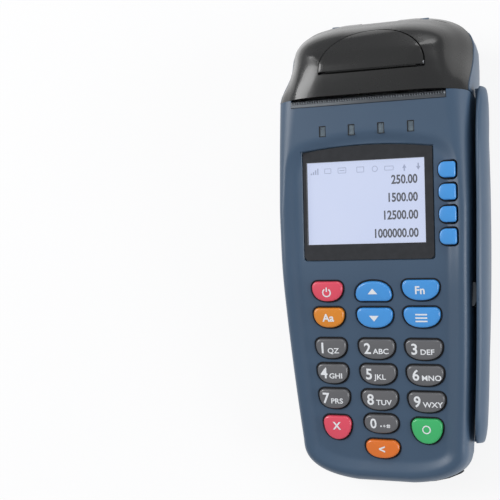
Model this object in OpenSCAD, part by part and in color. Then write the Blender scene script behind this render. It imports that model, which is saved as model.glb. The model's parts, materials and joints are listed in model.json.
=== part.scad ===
// Handheld payment terminal with a keypad, a display, a card swipe slot,
// a chip-card slot at the front edge and a receipt printer under a hinged cover.
// X runs across the keypad towards the swipe slot, Y from the front edge to the
// printer, Z up from the table. The origin is at the middle of the box, on the table.

/* [Body] */
// Length from the front edge to the printer end
body_l = 182; // [175:1:191]
// Width of the shell at its widest place
body_w = 76.2; // [75:0.1:79]
// Distance from the front edge to the widest place
wide_from_front = 121; // [116:1:126]
// Width of the shell where the front rounding starts
front_w = 66.6; // [66:0.1:70]
// Depth of the rounded front end
nose_l = 15; // [14:0.5:18]
// Depth of the rounded rear end
tail_l = 18; // [17:0.5:19]
// Wall thickness of both shells
wall = 2.2; // [1.8:0.1:2.4]
// Height of the parting line at the front edge
part_front_z = 9.2; // [9:0.1:10]
// Slope of the parting line, rise per run
part_k = 0.15; // [0.14:0.005:0.16]
// Height of the rubber feet below the shell
foot_h = 1.2; // [0.8:0.1:1.6]

/* [Face] */
// Tilt of the keypad face
keypad_tilt = 14; // [13.5:0.1:14.5]
// Tilt of the display face
display_tilt = 6.25; // [6:0.05:6.6]
// Distance from the front edge to the middle of key 2
key2_from_front = 51.5; // [51:0.5:53]
// Height of the face at key 2
key2_z = 31.3; // [31:0.1:33]
// Distance from key 2 to the bend between keypad and display
bend_from_key2 = 29.5; // [28.5:0.5:30.5]
// Height of the rim above the dished face
rim_h = 1.9; // [1.4:0.1:2.2]

/* [Keys] */
// Column pitch of the keys
key_px = 18.5; // [18.5:0.1:18.8]
// Row pitch of the number keys
key_py = 10.1; // [10.1:0.1:10.5]
// Width of a left-hand key
key_w_left = 12.4; // [11.5:0.1:12.6]
// Width of a middle or right-hand key
key_w_mid = 14.2; // [13:0.1:14.4]
// Height of a number key, front to back
key_h = 7.7; // [7:0.1:7.8]
// How far the key caps stand above the face
key_rise = 1.6; // [1.2:0.1:2]
// Gap between a key and its opening
key_gap = 0.3; // [0.2:0.05:0.4]
// Travel of a key
key_travel = 0.8; // [0.6:0.1:0.9]

/* [Display] */
// Width of the clear window
window_w = 51.8; // [50:0.1:52]
// Height of the clear window up to its corners
window_h = 42.4; // [40:0.1:42.6]
// Visible width of the display
lcd_w = 47; // [44:0.5:47.5]
// Visible height of the display
lcd_h = 32; // [30:0.5:33]
// Sideways place of the window's middle
window_x = -1.5; // [-1.6:0.05:-1.2]

/* [Swipe slot] */
// Width of the swipe slot
slot_w = 2.4; // [2.2:0.1:2.8]
// Thickness of the rail outside the slot
rail_t = 5.3; // [4.5:0.1:6]
// Length of the rail
rail_l = 134.5; // [130:0.5:138]
// Depth of the slot below the rail's ridge at its front end
slot_depth = 12.5; // [11.5:0.5:13.5]

/* [Printer] */
// Distance from the rear end to the front edge of the printer cover
cover_l = 34; // [33:0.5:35]
// Height of the cover's highest line
cover_top_z = 51; // [50.6:0.1:52]
// Thickness of the cover
cover_t = 1.8; // [1.4:0.1:1.9]
// Radius of the paper roll that the bay takes
roll_r = 15; // [14:0.1:15.2]
// Radius of the platen roller
platen_r = 4.3; // [4:0.1:4.4]
// Gear tooth size, pitch diameter over teeth
gear_m = 0.5; // [0.5:0.01:0.5]
// Half width of the release lever
lever_hw = 20.5; // [18:0.5:21.5]

/* [Chip card and battery] */
// Width of the chip-card slot
card_w = 54.4; // [54.2:0.1:55]
// Height of the chip-card slot
card_gap = 1; // [0.9:0.05:1.2]
// Length of the battery pack
battery_l = 55; // [50:1:55]
// Width of the battery pack
battery_w = 43.6; // [40:0.2:43.8]
// Height of the battery pack
battery_h = 15.5; // [12:0.5:16]

/* [Hidden] */

// Colours
c_shell = [0.27, 0.35, 0.47];
c_smoke = [0.2, 0.2, 0.21];
c_black = [0.1, 0.1, 0.11];
c_board = [0.1, 0.35, 0.2];
c_steel = [0.72, 0.73, 0.75];
c_white = [0.9, 0.9, 0.88];
c_rubber = [0.16, 0.16, 0.17];
c_brass = [0.75, 0.6, 0.3];
c_grey_key = [0.41, 0.41, 0.42];
c_blue_key = [0.29, 0.6, 0.86];
c_red_key = [0.87, 0.3, 0.38];
c_green_key = [0.25, 0.7, 0.42];
c_orange_key = [0.86, 0.5, 0.15];

// Places along the body
front_y = -body_l / 2;
rear_y = body_l / 2;
nose_y = front_y + nose_l;
tail_y = rear_y - tail_l;
cover_y = rear_y - cover_l;
key2_y = front_y + key2_from_front;
bend_y = key2_y + bend_from_key2;
bend_z = key2_z + bend_from_key2 * tan(keypad_tilt);
base_z = foot_h;
floor_z = base_z + wall;
wide_y = front_y + wide_from_front;

// Heights of the face, the rim and the parting line at a place along the body
bend_r = 8;
function face_u(u) = u < -bend_r ? tan(keypad_tilt) * u
    : u > bend_r ? tan(display_tilt) * u
    : tan(keypad_tilt) * u
        + (tan(display_tilt) - tan(keypad_tilt)) * (u + bend_r) * (u + bend_r) / (4 * bend_r);
function face(y) = bend_z + face_u(y - bend_y);
function rim(y) = face(y) + rim_h;
function part_z(y) = part_front_z + part_k * (y - front_y);
// Half width of the body, and how its flank leans in plan
flank_k = (body_w - front_w) / 2 / pow(wide_y - nose_y, 2);
function hw(y) = body_w / 2 - flank_k * pow(wide_y - y, 2);
function flank_a(y) = atan(2 * flank_k * (wide_y - y));
function mix(a, b, f) = a + (b - a) * f;
function clamp01(t) = min(1, max(0, t));

// Outline of the body in plan, one side from the front tip to the rear, drawn in by d
nose_p = 2.6;
tail_p = 3;
nose_a = [14, 26, 38, 50, 62, 74, 84];
tail_a = [8, 18, 30, 44, 60, 76];
function nose_pt(d, a) = [(hw(nose_y) - d) * pow(sin(a), 2 / nose_p),
    nose_y - (nose_l - d) * pow(cos(a) / cos(nose_a[0]), 2 / nose_p)];
// A ring that is drawn in far starts its rear rounding sooner
function tail_at(d) = tail_y - max(0, d - tail_l + 2);
function tail_pt(d, a) = [(hw(tail_y) - d) * pow(cos(a), 2 / tail_p),
    tail_at(d) + (rear_y - d - tail_at(d)) * pow(sin(a) / sin(tail_a[5]), 2 / tail_p)];
mid_y = [nose_y, mix(nose_y, bend_y, 0.35), mix(nose_y, bend_y, 0.7), bend_y - bend_r,
    bend_y - bend_r / 2, bend_y, bend_y + bend_r / 2, bend_y + bend_r,
    mix(bend_y, cover_y, 0.4), mix(bend_y, cover_y, 0.6), mix(bend_y, cover_y, 0.8)];
function nose_side(d) = [for (a = nose_a) nose_pt(d, a)];
function mid_side(d) = [for (y = mid_y) [hw(y) - d, y]];
function tail_side(d) = concat([[hw(tail_y) - d, tail_at(d)]], [for (a = tail_a) tail_pt(d, a)]);
function front_side(d, y1) = concat(nose_side(d), mid_side(d), [[hw(y1) - d, y1]]);
seam_ys = [for (f = [0.2, 0.4, 0.6, 0.8]) mix(cover_y, tail_y, f)];
function full_side(d) = concat(nose_side(d), mid_side(d),
    [for (y = concat([cover_y - 0.2, cover_y + 0.2], seam_ys)) [hw(y) - d, y]], tail_side(d));
function ring_of(side) = let (n = len(side)) concat(side,
    [for (i = [n - 1:-1:0]) [-side[i][0], side[i][1]]]);
function raise(ring, h) = [for (i = [0:len(ring) - 1]) [ring[i][0], ring[i][1], h[i]]];

// Solid through a stack of mirrored rings, the lowest first, closed by strips across X
module loft(rings) {
    n = len(rings[0]);
    m = n / 2;
    k = len(rings);
    top = (k - 1) * n;
    pts = [for (r = rings) for (p = r) p];
    sides = [for (j = [0:k - 2]) for (i = [0:n - 1]) let (a = j * n + i, b = j * n + (i + 1) % n)
        for (t = [[b, a, a + n], [b, a + n, b + n]]) t];
    lower = [for (i = [0:m - 2]) [i, i + 1, n - 2 - i, n - 1 - i]];
    upper = [for (i = [0:m - 2]) [top + n - 1 - i, top + n - 2 - i, top + i + 1, top + i]];
    polyhedron(points = pts, faces = concat(lower, sides, upper), convexity = 8);
}

// Frames that pieces are placed in
rail_y0 = front_y + 16.5;
rail_ramp = 20;
left_x = body_w / 2;
right_x = body_w / 2 + slot_w + rail_t;
centre_x = -(right_x - left_x) / 2;
module centred() translate([centre_x, 0, 0]) children();
module on_keypad() translate([0, key2_y, key2_z]) rotate([keypad_tilt, 0, 0]) children();
module on_display() translate([0, bend_y, bend_z]) rotate([display_tilt, 0, 0]) children();
module on_right(y) translate([hw(y), y, 0]) rotate([0, 0, -flank_a(y)]) children();
module on_left(y) translate([-hw(y), y, 0]) rotate([0, 0, flank_a(y)]) children();
module box(x0, x1, y0, y1, z0, z1) translate([x0, y0, z0]) cube([x1 - x0, y1 - y0, z1 - z0]);
module rod_x(r, x0, x1, y, z, fn = 48) translate([x0, y, z]) rotate([0, 90, 0])
    cylinder(r = r, h = x1 - x0, $fn = fn);
module plate_yz(x0, x1, pts) translate([x0, 0, 0]) rotate([90, 0, 90])
    linear_extrude(x1 - x0) polygon(pts);
module plan(side, z0, z1) translate([0, 0, z0]) linear_extrude(z1 - z0)
    polygon(ring_of(side));

/* Upper shell */

// The shoulders widen towards the printer cover
function widen(y) = clamp01((y - bend_y - 24) / (cover_y - bend_y - 24));
edge_d = [0, 0, 0.4, 1.1, 2, 2.9];
edge_h = [0, -5, -2.6, -1.1, -0.3, 0];
function shell_side(j, y1) = [for (p = front_side(0, y1)) let (s = 1 + 2.1 * widen(p[1]),
    d = edge_d[j] * s, q = p[1] < nose_y ? (nose_l - d) / nose_l : 1)
    [p[0] * (1 - d / hw(max(p[1], nose_y))), nose_y + (p[1] - nose_y) * q]];
function shell_ring(j, y1) = let (r = ring_of(shell_side(j, y1)))
    raise(r, [for (p = r) j == 0 ? part_z(p[1])
        : rim(p[1]) + edge_h[j] * (1 + 0.45 * widen(p[1]))]);
shell_end_y = cover_y - 0.3;
tear_y = cover_y - 2;
under = 2;
module shell_outer() loft([for (j = [0:5]) shell_ring(j, shell_end_y)]);
function cavity_ring(d, part, drop) = let (r = ring_of(front_side(d, cover_y + 3)))
    raise(r, [for (p = r) part ? part_z(p[1]) - 1 : face(p[1]) - drop]);
module shell_cavity() loft([cavity_ring(wall, true, 0), cavity_ring(wall, false, 3.6),
    cavity_ring(wall + 0.4, false, under)]);

// The dish in the face: flat floor, sloped bands up to the rims, arched upper end
dish_floor_d = 8.6;
dish_top_d = 3.3;
dish_end = 50;
dish_corner = 11;
function dish_side(d, e) = concat(
    [for (a = nose_a) nose_pt(d, a)],
    [for (y = mid_y) if (y < bend_y + 20) [hw(y + 1.7) - d, y + 1.7]],
    [for (a = [0, 22, 45, 68, 90]) let (y = bend_y + dish_end - dish_corner + e)
        [hw(y) - d - dish_corner * (1 - cos(a)), y - 3 + dish_corner * sin(a)]],
    [[hw(bend_y) * 0.35, bend_y + dish_end + e - 0.6]]);
function dish_ring(d, e, h) = let (r = ring_of(dish_side(d, e)))
    raise(r, [for (p = r) face(p[1]) + h]);
dish_over = 0.6;
dish_k = (rim_h + dish_over) / rim_h;
module dish() loft([dish_ring(dish_floor_d, 0, 0),
    dish_ring(mix(dish_floor_d, dish_top_d, dish_k), 3.4 * dish_k, rim_h + dish_over)]);

/* Keys */

// Key outline: straight back edge with round corners, bulging front edge
function key_pts(w, h, r, q) = concat(
    [for (a = [0:30:90]) [w / 2 - r + r * cos(a), h / 2 - r + r * sin(a)]],
    [for (a = [90:30:180]) [-w / 2 + r + r * cos(a), h / 2 - r + r * sin(a)]],
    [for (a = [195:15:345]) [sign(cos(a)) * w / 2 * pow(abs(cos(a)), 2 / q),
        h / 2 - r - (h - r) * pow(abs(sin(a)), 2 / q)]]);
module key_shape(w, h, r, q, g, z0, z1) translate([0, 0, z0]) linear_extrude(z1 - z0)
    polygon(key_pts(w + 2 * g, h + 2 * g, r + g, q));
// Soft keys: rounder on the side of the display
function soft_pts(w, h, r1, r2) = concat(
    [for (a = [0:30:90]) [w / 2 - r2 + r2 * cos(a), h / 2 - r2 + r2 * sin(a)]],
    [for (a = [90:30:180]) [-w / 2 + r1 + r1 * cos(a), h / 2 - r1 + r1 * sin(a)]],
    [for (a = [180:30:270]) [-w / 2 + r1 + r1 * cos(a), -h / 2 + r1 + r1 * sin(a)]],
    [for (a = [270:30:360]) [w / 2 - r2 + r2 * cos(a), -h / 2 + r2 + r2 * sin(a)]]);
module soft_shape(g, z0, z1) translate([0, 0, z0]) linear_extrude(z1 - z0)
    polygon(soft_pts(soft_w + 2 * g, soft_h + 2 * g, 2.4 + g, 1 + g));

// Depths below the face, along the key's own axis
flange_gap = 0.3;
flange_t = 1;
flange_w = 0.9;
flange_z = -under - flange_gap;
plunger_z = flange_z - flange_t - 1;
dome_z = plunger_z - key_travel - 0.2;
mat_z = dome_z - 1.1;
mat_t = 0.8;
board_z = mat_z - mat_t;
board_t = 1.6;
plunger_r = 1.6;

// Name, column place, row place, width, height, corner radius, roundness, turned round
row_0 = -3 * key_py + 0.6;
key_table = [
    ["power", -key_px, 22.7, key_w_left, key_h, 2.2, 2.3, false],
    ["up", 0, 22.7, key_w_mid, key_h, 2.2, 2.3, true],
    ["func", key_px, 23, key_w_mid, key_h, 2.2, 2.3, false],
    ["alpha", -key_px, 12.3, key_w_left, key_h, 2.2, 2.3, false],
    ["down", 0, 12.3, key_w_mid, key_h, 2.2, 2.3, false],
    ["menu", key_px, 12.5, key_w_mid, key_h, 2.2, 2.3, false],
    ["1", -key_px, 0, key_w_left, key_h, 2.2, 2.4, false],
    ["2", 0, 0, key_w_mid, key_h, 2.2, 2.4, false],
    ["3", key_px, 0, key_w_mid, key_h, 2.2, 2.4, false],
    ["4", -key_px, -key_py, key_w_left, key_h, 2.2, 2.4, false],
    ["5", 0, -key_py, key_w_mid, key_h, 2.2, 2.4, false],
    ["6", key_px, -key_py, key_w_mid, key_h, 2.2, 2.4, false],
    ["7", -key_px, -2 * key_py, key_w_left, key_h, 2.2, 2.4, false],
    ["8", 0, -2 * key_py, key_w_mid, key_h, 2.2, 2.4, false],
    ["9", key_px, -2 * key_py - 0.3, key_w_mid, key_h, 2.2, 2.4, false],
    ["0", 0, row_0, key_w_mid - 0.8, key_h - 0.5, 3, 2.4, false],
    ["cancel", 0.6 - key_px, row_0 - 2.2, key_w_left - 1.1, key_h + 1.8, 2.6, 2.1, false],
    ["enter", key_px - 0.4, row_0 - 2.2, key_w_mid - 2.2, key_h + 2.1, 2.6, 2.1, false],
    ["clear", 0, row_0 - 10.1, key_w_mid - 0.8, key_h - 0.5, 2.6, 2.2, false]];
function key_row(name) = key_table[search([name], key_table)[0]];

soft_w = 6.4;
soft_h = 5.9;
soft_x = 30;
soft_y0 = 12.5;
soft_py = 8.3;
soft_rise = 2.6;
module at_key(k) on_keypad() translate([k[1], k[2], 0]) rotate([0, 0, k[7] ? 180 : 0]) children();
module at_soft(i) on_display() translate([soft_x, soft_y0 + (4 - i) * soft_py, 0]) children();

dome_r = 34;
module key(name) {
    k = key_row(name);
    at_key(k) {
        intersection() {
            key_shape(k[3], k[4], k[5], k[6], 0, flange_z - 0.2, key_rise + 1);
            translate([0, 0, key_rise - dome_r]) sphere(r = dome_r, $fn = 80);
        }
        key_shape(k[3], k[4], k[5], k[6], flange_w, flange_z - flange_t, flange_z);
        translate([0, 0, plunger_z]) cylinder(r = plunger_r, h = 1.2, $fn = 32);
    }
}
soft_dome_r = 16;
soft_plunger_z = -6.1;
module soft_key(i) at_soft(i) {
    intersection() {
        soft_shape(0, flange_z - 0.2, soft_rise + 1);
        translate([0, 0, soft_rise - soft_dome_r]) sphere(r = soft_dome_r, $fn = 64);
    }
    soft_shape(0.6, flange_z - flange_t, flange_z);
    translate([0, 0, soft_plunger_z]) cylinder(r = 1.2, h = -soft_plunger_z + flange_z - 0.5, $fn = 24);
}

module key_0() color(c_grey_key) centred() key("0");
module key_1() color(c_grey_key) centred() key("1");
module key_2() color(c_grey_key) centred() key("2");
module key_3() color(c_grey_key) centred() key("3");
module key_4() color(c_grey_key) centred() key("4");
module key_5() color(c_grey_key) centred() key("5");
module key_6() color(c_grey_key) centred() key("6");
module key_7() color(c_grey_key) centred() key("7");
module key_8() color(c_grey_key) centred() key("8");
module key_9() color(c_grey_key) centred() key("9");
module key_power() color(c_red_key) centred() key("power");
module key_alpha() color(c_orange_key) centred() key("alpha");
module key_up() color(c_blue_key) centred() key("up");
module key_down() color(c_blue_key) centred() key("down");
module key_func() color(c_blue_key) centred() key("func");
module key_menu() color(c_blue_key) centred() key("menu");
module key_cancel() color(c_red_key) centred() key("cancel");
module key_enter() color(c_green_key) centred() key("enter");
module key_clear() color(c_orange_key) centred() key("clear");
module soft_key_1() color(c_blue_key) centred() soft_key(1);
module soft_key_2() color(c_blue_key) centred() soft_key(2);
module soft_key_3() color(c_blue_key) centred() soft_key(3);
module soft_key_4() color(c_blue_key) centred() soft_key(4);

// Silicone mat with a dome under each key, and the board under it
mat_hw = key_px + key_w_left / 2 + 0.4;
mat_y0 = row_0 - 10 - 4;
mat_y1 = 22.8 + 4.6;
board_hw = mat_hw + 4.4;
module key_mat() color(c_white) centred() on_keypad() {
    box(-mat_hw, mat_hw, mat_y0, mat_y1, board_z, mat_z);
    for (k = key_table) translate([k[1], k[2], mat_z - 0.1])
        cylinder(r1 = 2.8, r2 = 1.9, h = dome_z - mat_z + 0.1, $fn = 32);
}
post_x = board_hw - 1.2;
post_r = 1.2;
post_rows = [mat_y1 - 2.2, 9];
module keypad_board() color(c_board) centred() difference() {
    on_keypad() {
        box(-mat_hw, mat_hw, mat_y0, mat_y1, board_z - board_t, board_z);
        box(-board_hw, board_hw, -3.5, mat_y1, board_z - board_t, board_z);
    }
    on_keypad() for (s = [-1, 1]) translate([s * post_x, post_rows[1] + 8, board_z - board_t - 1])
        cylinder(r = 1, h = board_t + 2, $fn = 24);
    for (p = screw_at) translate([p[0], p[1], 10]) cylinder(r = boss_r + 0.4, h = 40, $fn = 32);
}

/* Display end */

window_y0 = 4.3;
window_t = 1.1;
window_in = 1.2;
window_arc = 1.9;
function window_pts(g) = let (w = window_w / 2 + g, y0 = window_y0 - g, y1 = window_y0 + window_h + g)
    concat([[-w, y1], [-w, y0 + 1.2], [-w + 1.2, y0], [w - 1.2, y0], [w, y0 + 1.2], [w, y1]],
        [for (t = [0.75:-0.25:-0.75]) [w * t, y1 + window_arc * (1 - t * t)]]);
module window_shape(g, z0, z1) translate([window_x, 0, z0]) linear_extrude(z1 - z0)
    polygon(window_pts(g));
module display_window() color([0.75, 0.78, 0.85, 0.45]) centred() on_display()
    window_shape(-0.15, -window_in, -window_in + window_t);
lcd_x = window_x - 0.9;
lcd_y = window_y0 + 6.3 + lcd_h / 2;
lcd_t = 3.2;
lcd_edge = 1.6;
lcd_low = 3.3;
module lcd_panel() color([0.8, 0.84, 0.94]) centred() on_display() {
    box(lcd_x - lcd_w / 2 - lcd_edge, lcd_x + lcd_w / 2 + lcd_edge,
        lcd_y - lcd_h / 2 - lcd_low, lcd_y + lcd_h / 2 + 3, -under - 0.2 - lcd_t, -under - 0.2);
    box(lcd_x - lcd_w / 2 - 0.4, lcd_x + lcd_w / 2 + 0.4,
        lcd_y - lcd_h / 2 - 0.4, lcd_y + lcd_h / 2 + 0.4, -under - 0.4, -window_in - 0.2);
}
main_z = -8;
main_y0 = 3;
main_y1 = 46;
main_post_y = main_y0 + 1.7;
module main_board() color(c_board) centred() on_display() {
    difference() {
        union() {
            box(-27, 27, main_y0, main_y1, main_z - board_t, main_z);
            box(26, 33.4, soft_y0 - 4, soft_y0 + 3 * soft_py + 2, main_z - board_t, main_z);
            box(-33, -26, port_y0 - bend_y + 1, port_y1 - bend_y - 1, main_z - board_t, main_z);
        }
        for (s = [-1, 1]) translate([s * 23, main_post_y + 4.5, main_z - 3])
            cylinder(r = 1.2, h = 4, $fn = 24);
    }
    for (i = [1:4]) translate([soft_x - 2, soft_y0 + (4 - i) * soft_py - 2, main_z - 0.1])
        cube([4, 4, 1]);
    box(-20, 2, 14, 34, main_z - board_t - 2.2, main_z - board_t + 0.1);
    box(8, 22, 12, 26, main_z - board_t - 1.4, main_z - board_t + 0.1);
    box(8, 20, 30, 42, main_z - board_t - 2.6, main_z - board_t + 0.1);
}
light_x = [-18.3, -6.6, 5.1, 16.7];
light_y = 54.4;
light_w = 2;
light_l = 3.6;
module status_lights() color([0.75, 0.82, 0.8, 0.7]) centred() on_display() {
    for (x = light_x) box(x - light_w / 2, x + light_w / 2, light_y - light_l / 2,
        light_y + light_l / 2, rim_h - 3.4, rim_h - 0.3);
    box(light_x[0] - 3, light_x[3] + 3, light_y - 3, light_y + 3, -under - 1.4, -under - 0.1);
    for (x = light_x) box(x - light_w / 2, x + light_w / 2, light_y - light_l / 2,
        light_y + light_l / 2, -under - 0.5, rim_h - 3);
}

/* Sockets and their flap on the left flank */

port_y0 = bend_y + 21;
port_y1 = port_y0 + 20;
port_z0 = 31.6;
port_z1 = 39.6;
flap_t = 1.4;
flap_gap = 0.2;
flap_pivot_z = port_z0 + flap_t / 2 + flap_gap;
port_ym = (port_y0 + port_y1) / 2;
module on_port() on_left(port_ym) children();
module port_sockets() color(c_steel) centred() on_display() difference() {
    union() {
        box(-34, -28, port_y0 - bend_y + 2, port_y0 - bend_y + 9.5, main_z, main_z + 4);
        box(-34, -28, port_y1 - bend_y - 8, port_y1 - bend_y - 2, main_z, main_z + 3.4);
    }
    box(-35, -29, port_y0 - bend_y + 2.6, port_y0 - bend_y + 8.9, main_z + 0.6, main_z + 3.4);
    box(-35, -29, port_y1 - bend_y - 7.4, port_y1 - bend_y - 2.6, main_z + 0.6, main_z + 2.8);
}
module port_cover() color(c_shell) centred() on_port() {
    box(0, flap_t, -(port_y1 - port_ym) + flap_gap, port_y1 - port_ym - flap_gap,
        flap_pivot_z, port_z1 - flap_gap);
    translate([flap_t / 2, -(port_y1 - port_ym) + flap_gap, flap_pivot_z]) rotate([-90, 0, 0])
        cylinder(r = flap_t / 2, h = port_y1 - port_y0 - 2 * flap_gap, $fn = 32);
    box(-0.5, 0.4, -2.3, 2.3, port_z1 - 2.2, port_z1 - 0.8);
}

/* Magnetic-card slot */

// Height of the slot floor at a place along the body
slot_floor0 = rim(rail_y0) - slot_depth - 0.6;
function floor_at(y) = slot_floor0 + part_k * (y - rail_y0);
rail_floor_t = 3;
// Outline of the rail in plan: it runs beside the flank and thins at both ends
rail_end = rail_ramp / 2;
function rail_x(y, over) = hw(rail_y0 + y) + slot_w + over;
rail_outer = concat(
    [for (a = [0:15:90]) let (y = rail_end * (1 - cos(a)))
        [rail_x(y, 2.6 + (rail_t - 2.6) * sin(a)), rail_y0 + y]],
    [for (f = [0.2, 0.4, 0.6]) [rail_x(rail_l * f, rail_t), rail_y0 + rail_l * f]],
    [[rail_x(wide_y - rail_y0, rail_t), wide_y]],
    [for (a = [90:-15:0]) let (y = rail_l - rail_end * (1 - cos(a)))
        [rail_x(y, 2.6 + (rail_t - 2.6) * sin(a)), rail_y0 + y]]);
rail_steps = [for (f = [1:-0.125:0]) rail_l * f];
rail_inner = [for (y = rail_steps) [rail_x(y, 0), rail_y0 + y]];
rail_ys = [0, 4, 10, 26, 42, 53, 61, 69, 77, 95, 112, 122, 129, 133.5, 136];
rail_drop = [5, 2.2, 0.8, 0.6, 0.6, 0.6, 0.6, 0.6, 0.6, 0.7, 1.4, 3.2, 6, 9.5, 13];
rail_x0 = front_w / 2 - 8;
rail_x1 = right_x + 2;
// Side view of the rail: rounded ends, top just under the rim line
function rail_at(i) = rail_y0 + rail_ys[i] * rail_l / 136;
rail_view = concat([for (i = [0:14]) [rail_at(i), rim(rail_at(i)) - rail_drop[i]]],
    [[rail_y0 + rail_l, floor_at(rail_y0 + rail_l) - rail_floor_t + 2],
    [rail_y0 + rail_l - 5, floor_at(rail_y0 + rail_l) - rail_floor_t],
    [rail_y0 + 4, floor_at(rail_y0) - rail_floor_t], [rail_y0, floor_at(rail_y0) - rail_floor_t + 2]]);
module rail_wall() intersection() {
    translate([0, 0, -1]) linear_extrude(70) polygon(concat(rail_outer, rail_inner));
    plate_yz(rail_x0, rail_x1, rail_view);
}
rail_fit = 0.15;
peg_y = [14, 62, 112];
module rail_floor() intersection() {
    translate([0, 0, -1]) linear_extrude(70) polygon(concat(
        [for (i = [8:-1:0]) [rail_x(rail_steps[i], rail_fit - slot_w), rail_y0 + rail_steps[i]]],
        [for (i = [0:8]) [rail_x(rail_steps[i], 1), rail_y0 + rail_steps[i]]]));
    plate_yz(rail_x0, rail_x1, [[rail_y0, floor_at(rail_y0)],
        [rail_y0 + rail_l, floor_at(rail_y0 + rail_l)],
        [rail_y0 + rail_l, floor_at(rail_y0 + rail_l) - rail_floor_t],
        [rail_y0, floor_at(rail_y0) - rail_floor_t]]);
}
module on_peg(y) on_right(rail_y0 + y) translate([0, 0, floor_at(rail_y0 + y) - 1.6])
    rotate([0, 90, 0]) children();
module swipe_rail() color(c_shell) centred() {
    rail_wall();
    rail_floor();
    for (y = peg_y) on_peg(y) translate([0, 0, -wall - 1]) cylinder(r = 1.1, h = wall + 3, $fn = 32);
}
head_y = rail_y0 + 56;
head_z = floor_at(head_y) + 8.6;
head_out = slot_w - 0.5;
head_l = 9;
head_h = 7;
head_travel = 0.5;
module mag_head() color(c_steel) centred() on_right(head_y) translate([0, 0, head_z]) {
    box(-wall - 4, 0.4, -head_l / 2, head_l / 2, -head_h / 2, head_h / 2);
    intersection() {
        box(-1, head_out, -head_l / 2, head_l / 2, -head_h / 2, head_h / 2);
        translate([head_out - 9, 0, -head_h]) cylinder(r = 9, h = 2 * head_h, $fn = 96);
    }
}
module mag_head_spring() color(c_brass) centred() on_right(head_y) translate([-wall - 4.3, 0, head_z]) {
    box(-0.3, 0, -11, 11, -2.5, 2.5);
    for (s = [-1, 1]) box(-0.3, 4.1, s * 11 - 0.15, s * 11 + 0.15, -2.5, 2.5);
}

module front_housing() color(c_shell) centred() difference() {
    union() {
        difference() {
            shell_outer();
            shell_cavity();
            dish();
        }
        // Posts that hold the keypad board and bosses for the housing screws
        on_keypad() for (s = [-1, 1]) for (y = post_rows)
            translate([s * post_x, y, board_z]) cylinder(r = post_r, h = -board_z - under + 0.3, $fn = 32);
        for (p = screw_at) translate([p[0], p[1], part_z(p[1]) + 0.2])
            cylinder(r = boss_r, h = face(p[1]) - part_z(p[1]) - under, $fn = 32);
        on_right(head_y) for (s = [-1, 1]) box(-wall - 4.2, -wall + 0.3, s * 12.6 - 1.4,
            s * 12.6 + 1.4, head_z - 3, head_z + 3);
        on_port() box(0.4, 2.9, port_y0 - port_ym - 1.5, port_y1 - port_ym + 1.5, port_z0 - 1.5, port_z1 + 0.6);
        on_display() for (s = [-1, 1]) translate([s * 23, main_post_y, main_z])
            cylinder(r = 1.2, h = -main_z - under + 0.3, $fn = 24);
    }
    for (k = key_table) at_key(k) key_shape(k[3], k[4], k[5], k[6], key_gap, -under - 2, rim_h + 3);
    for (i = [1:4]) at_soft(i) soft_shape(key_gap, -under - 1, rim_h + 3);
    on_display() {
        window_shape(0.15, -window_in, rim_h + 1);
        box(lcd_x - lcd_w / 2 - 0.7, lcd_x + lcd_w / 2 + 0.7, lcd_y - lcd_h / 2 - 0.7,
            lcd_y + lcd_h / 2 + 0.7, -under - 1, 0);
        for (x = light_x) box(x - light_w / 2 - 0.15, x + light_w / 2 + 0.15,
            light_y - light_l / 2 - 0.15, light_y + light_l / 2 + 0.15, -under - 1, rim_h + 1);
    }
    on_right(head_y) translate([0, 0, head_z])
        box(-wall - 1, 1, -head_l / 2 - 0.3, head_l / 2 + 0.3, -head_h / 2 - 0.3, head_h / 2 + 0.3);
    on_port() {
        // The lower edge leaves room for the flap's corner as it swings down
        box(-1, flap_t + 0.2, port_y0 - port_ym, port_y1 - port_ym, port_z0 - 0.25, port_z1);
        box(0, 6, port_y0 - port_ym + 1.2, port_y0 - port_ym + 10.2, port_z0 + 1.2, port_z1 - 1.2);
        box(0, 6, port_y1 - port_ym - 9, port_y1 - port_ym - 1.4, port_z0 + 1.2, port_z1 - 1.2);
    }
    for (p = screw_at) translate([p[0], p[1], part_z(p[1]) - 1])
        cylinder(r = pilot_r, h = 11, $fn = 24);
    // Seat of the tear bar and the room for the print head at the open end
    translate([tear_x, 0, 0]) {
        box(-tear_hw - 0.15, tear_hw + 0.15, tear_y - 1.45, cover_y + 1, rim(tear_y) - 1.05, 60);
        box(-tear_hw - 0.15, tear_hw + 0.15, tear_y - 0.15, cover_y + 1, 20, 60);
    }
}

/* Lower shell */

boss_r = 2.4;
pilot_r = 1.05;
screw_front_y = key2_y + 1.5;
screw_rear_y = cover_y - 23;
screw_at = [[-29.4, screw_front_y], [29.4, screw_front_y],
    [-30.6, screw_rear_y], [30.6, screw_rear_y]];
// The seam of the printer cover falls from behind the display to the hinge
seam_front_z = 42.4;
seam_rear_z = 30;
seam_gap = 0.35;
function seam_z(y) = seam_rear_z + (seam_front_z - seam_rear_z) * lookup((y - cover_y) / cover_l,
    [[0, 1], [0.1, 0.87], [0.19, 0.66], [0.28, 0.43], [0.38, 0.2], [0.47, 0.06], [0.56, 0], [1, 0]]);
function rear_top(y) = y < cover_y ? part_z(y) - 0.15 : seam_z(y) - seam_gap;
rear_f = [1, 0.92, 0.75, 0.45, 0];
rear_d = [7, 4.4, 2.2, 0.7, 0];
function rear_ring(j) = let (r = ring_of(full_side(rear_d[j])))
    raise(r, [for (p = r) mix(rear_top(p[1]), base_z, rear_f[j])]);
in_f = [1, 0.78, 0.45, 0];
in_d = [7.6, 4.6, 0.7, 0];
function in_ring(j) = let (r = ring_of(full_side(in_d[j] + (j == 0 ? 0 : j == 1 ? 0 : wall))))
    raise(r, [for (p = r) mix(rear_top(p[1]) + 1, floor_z, in_f[j])]);
module rear_outer() loft([for (j = [0:4]) rear_ring(j)]);
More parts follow.
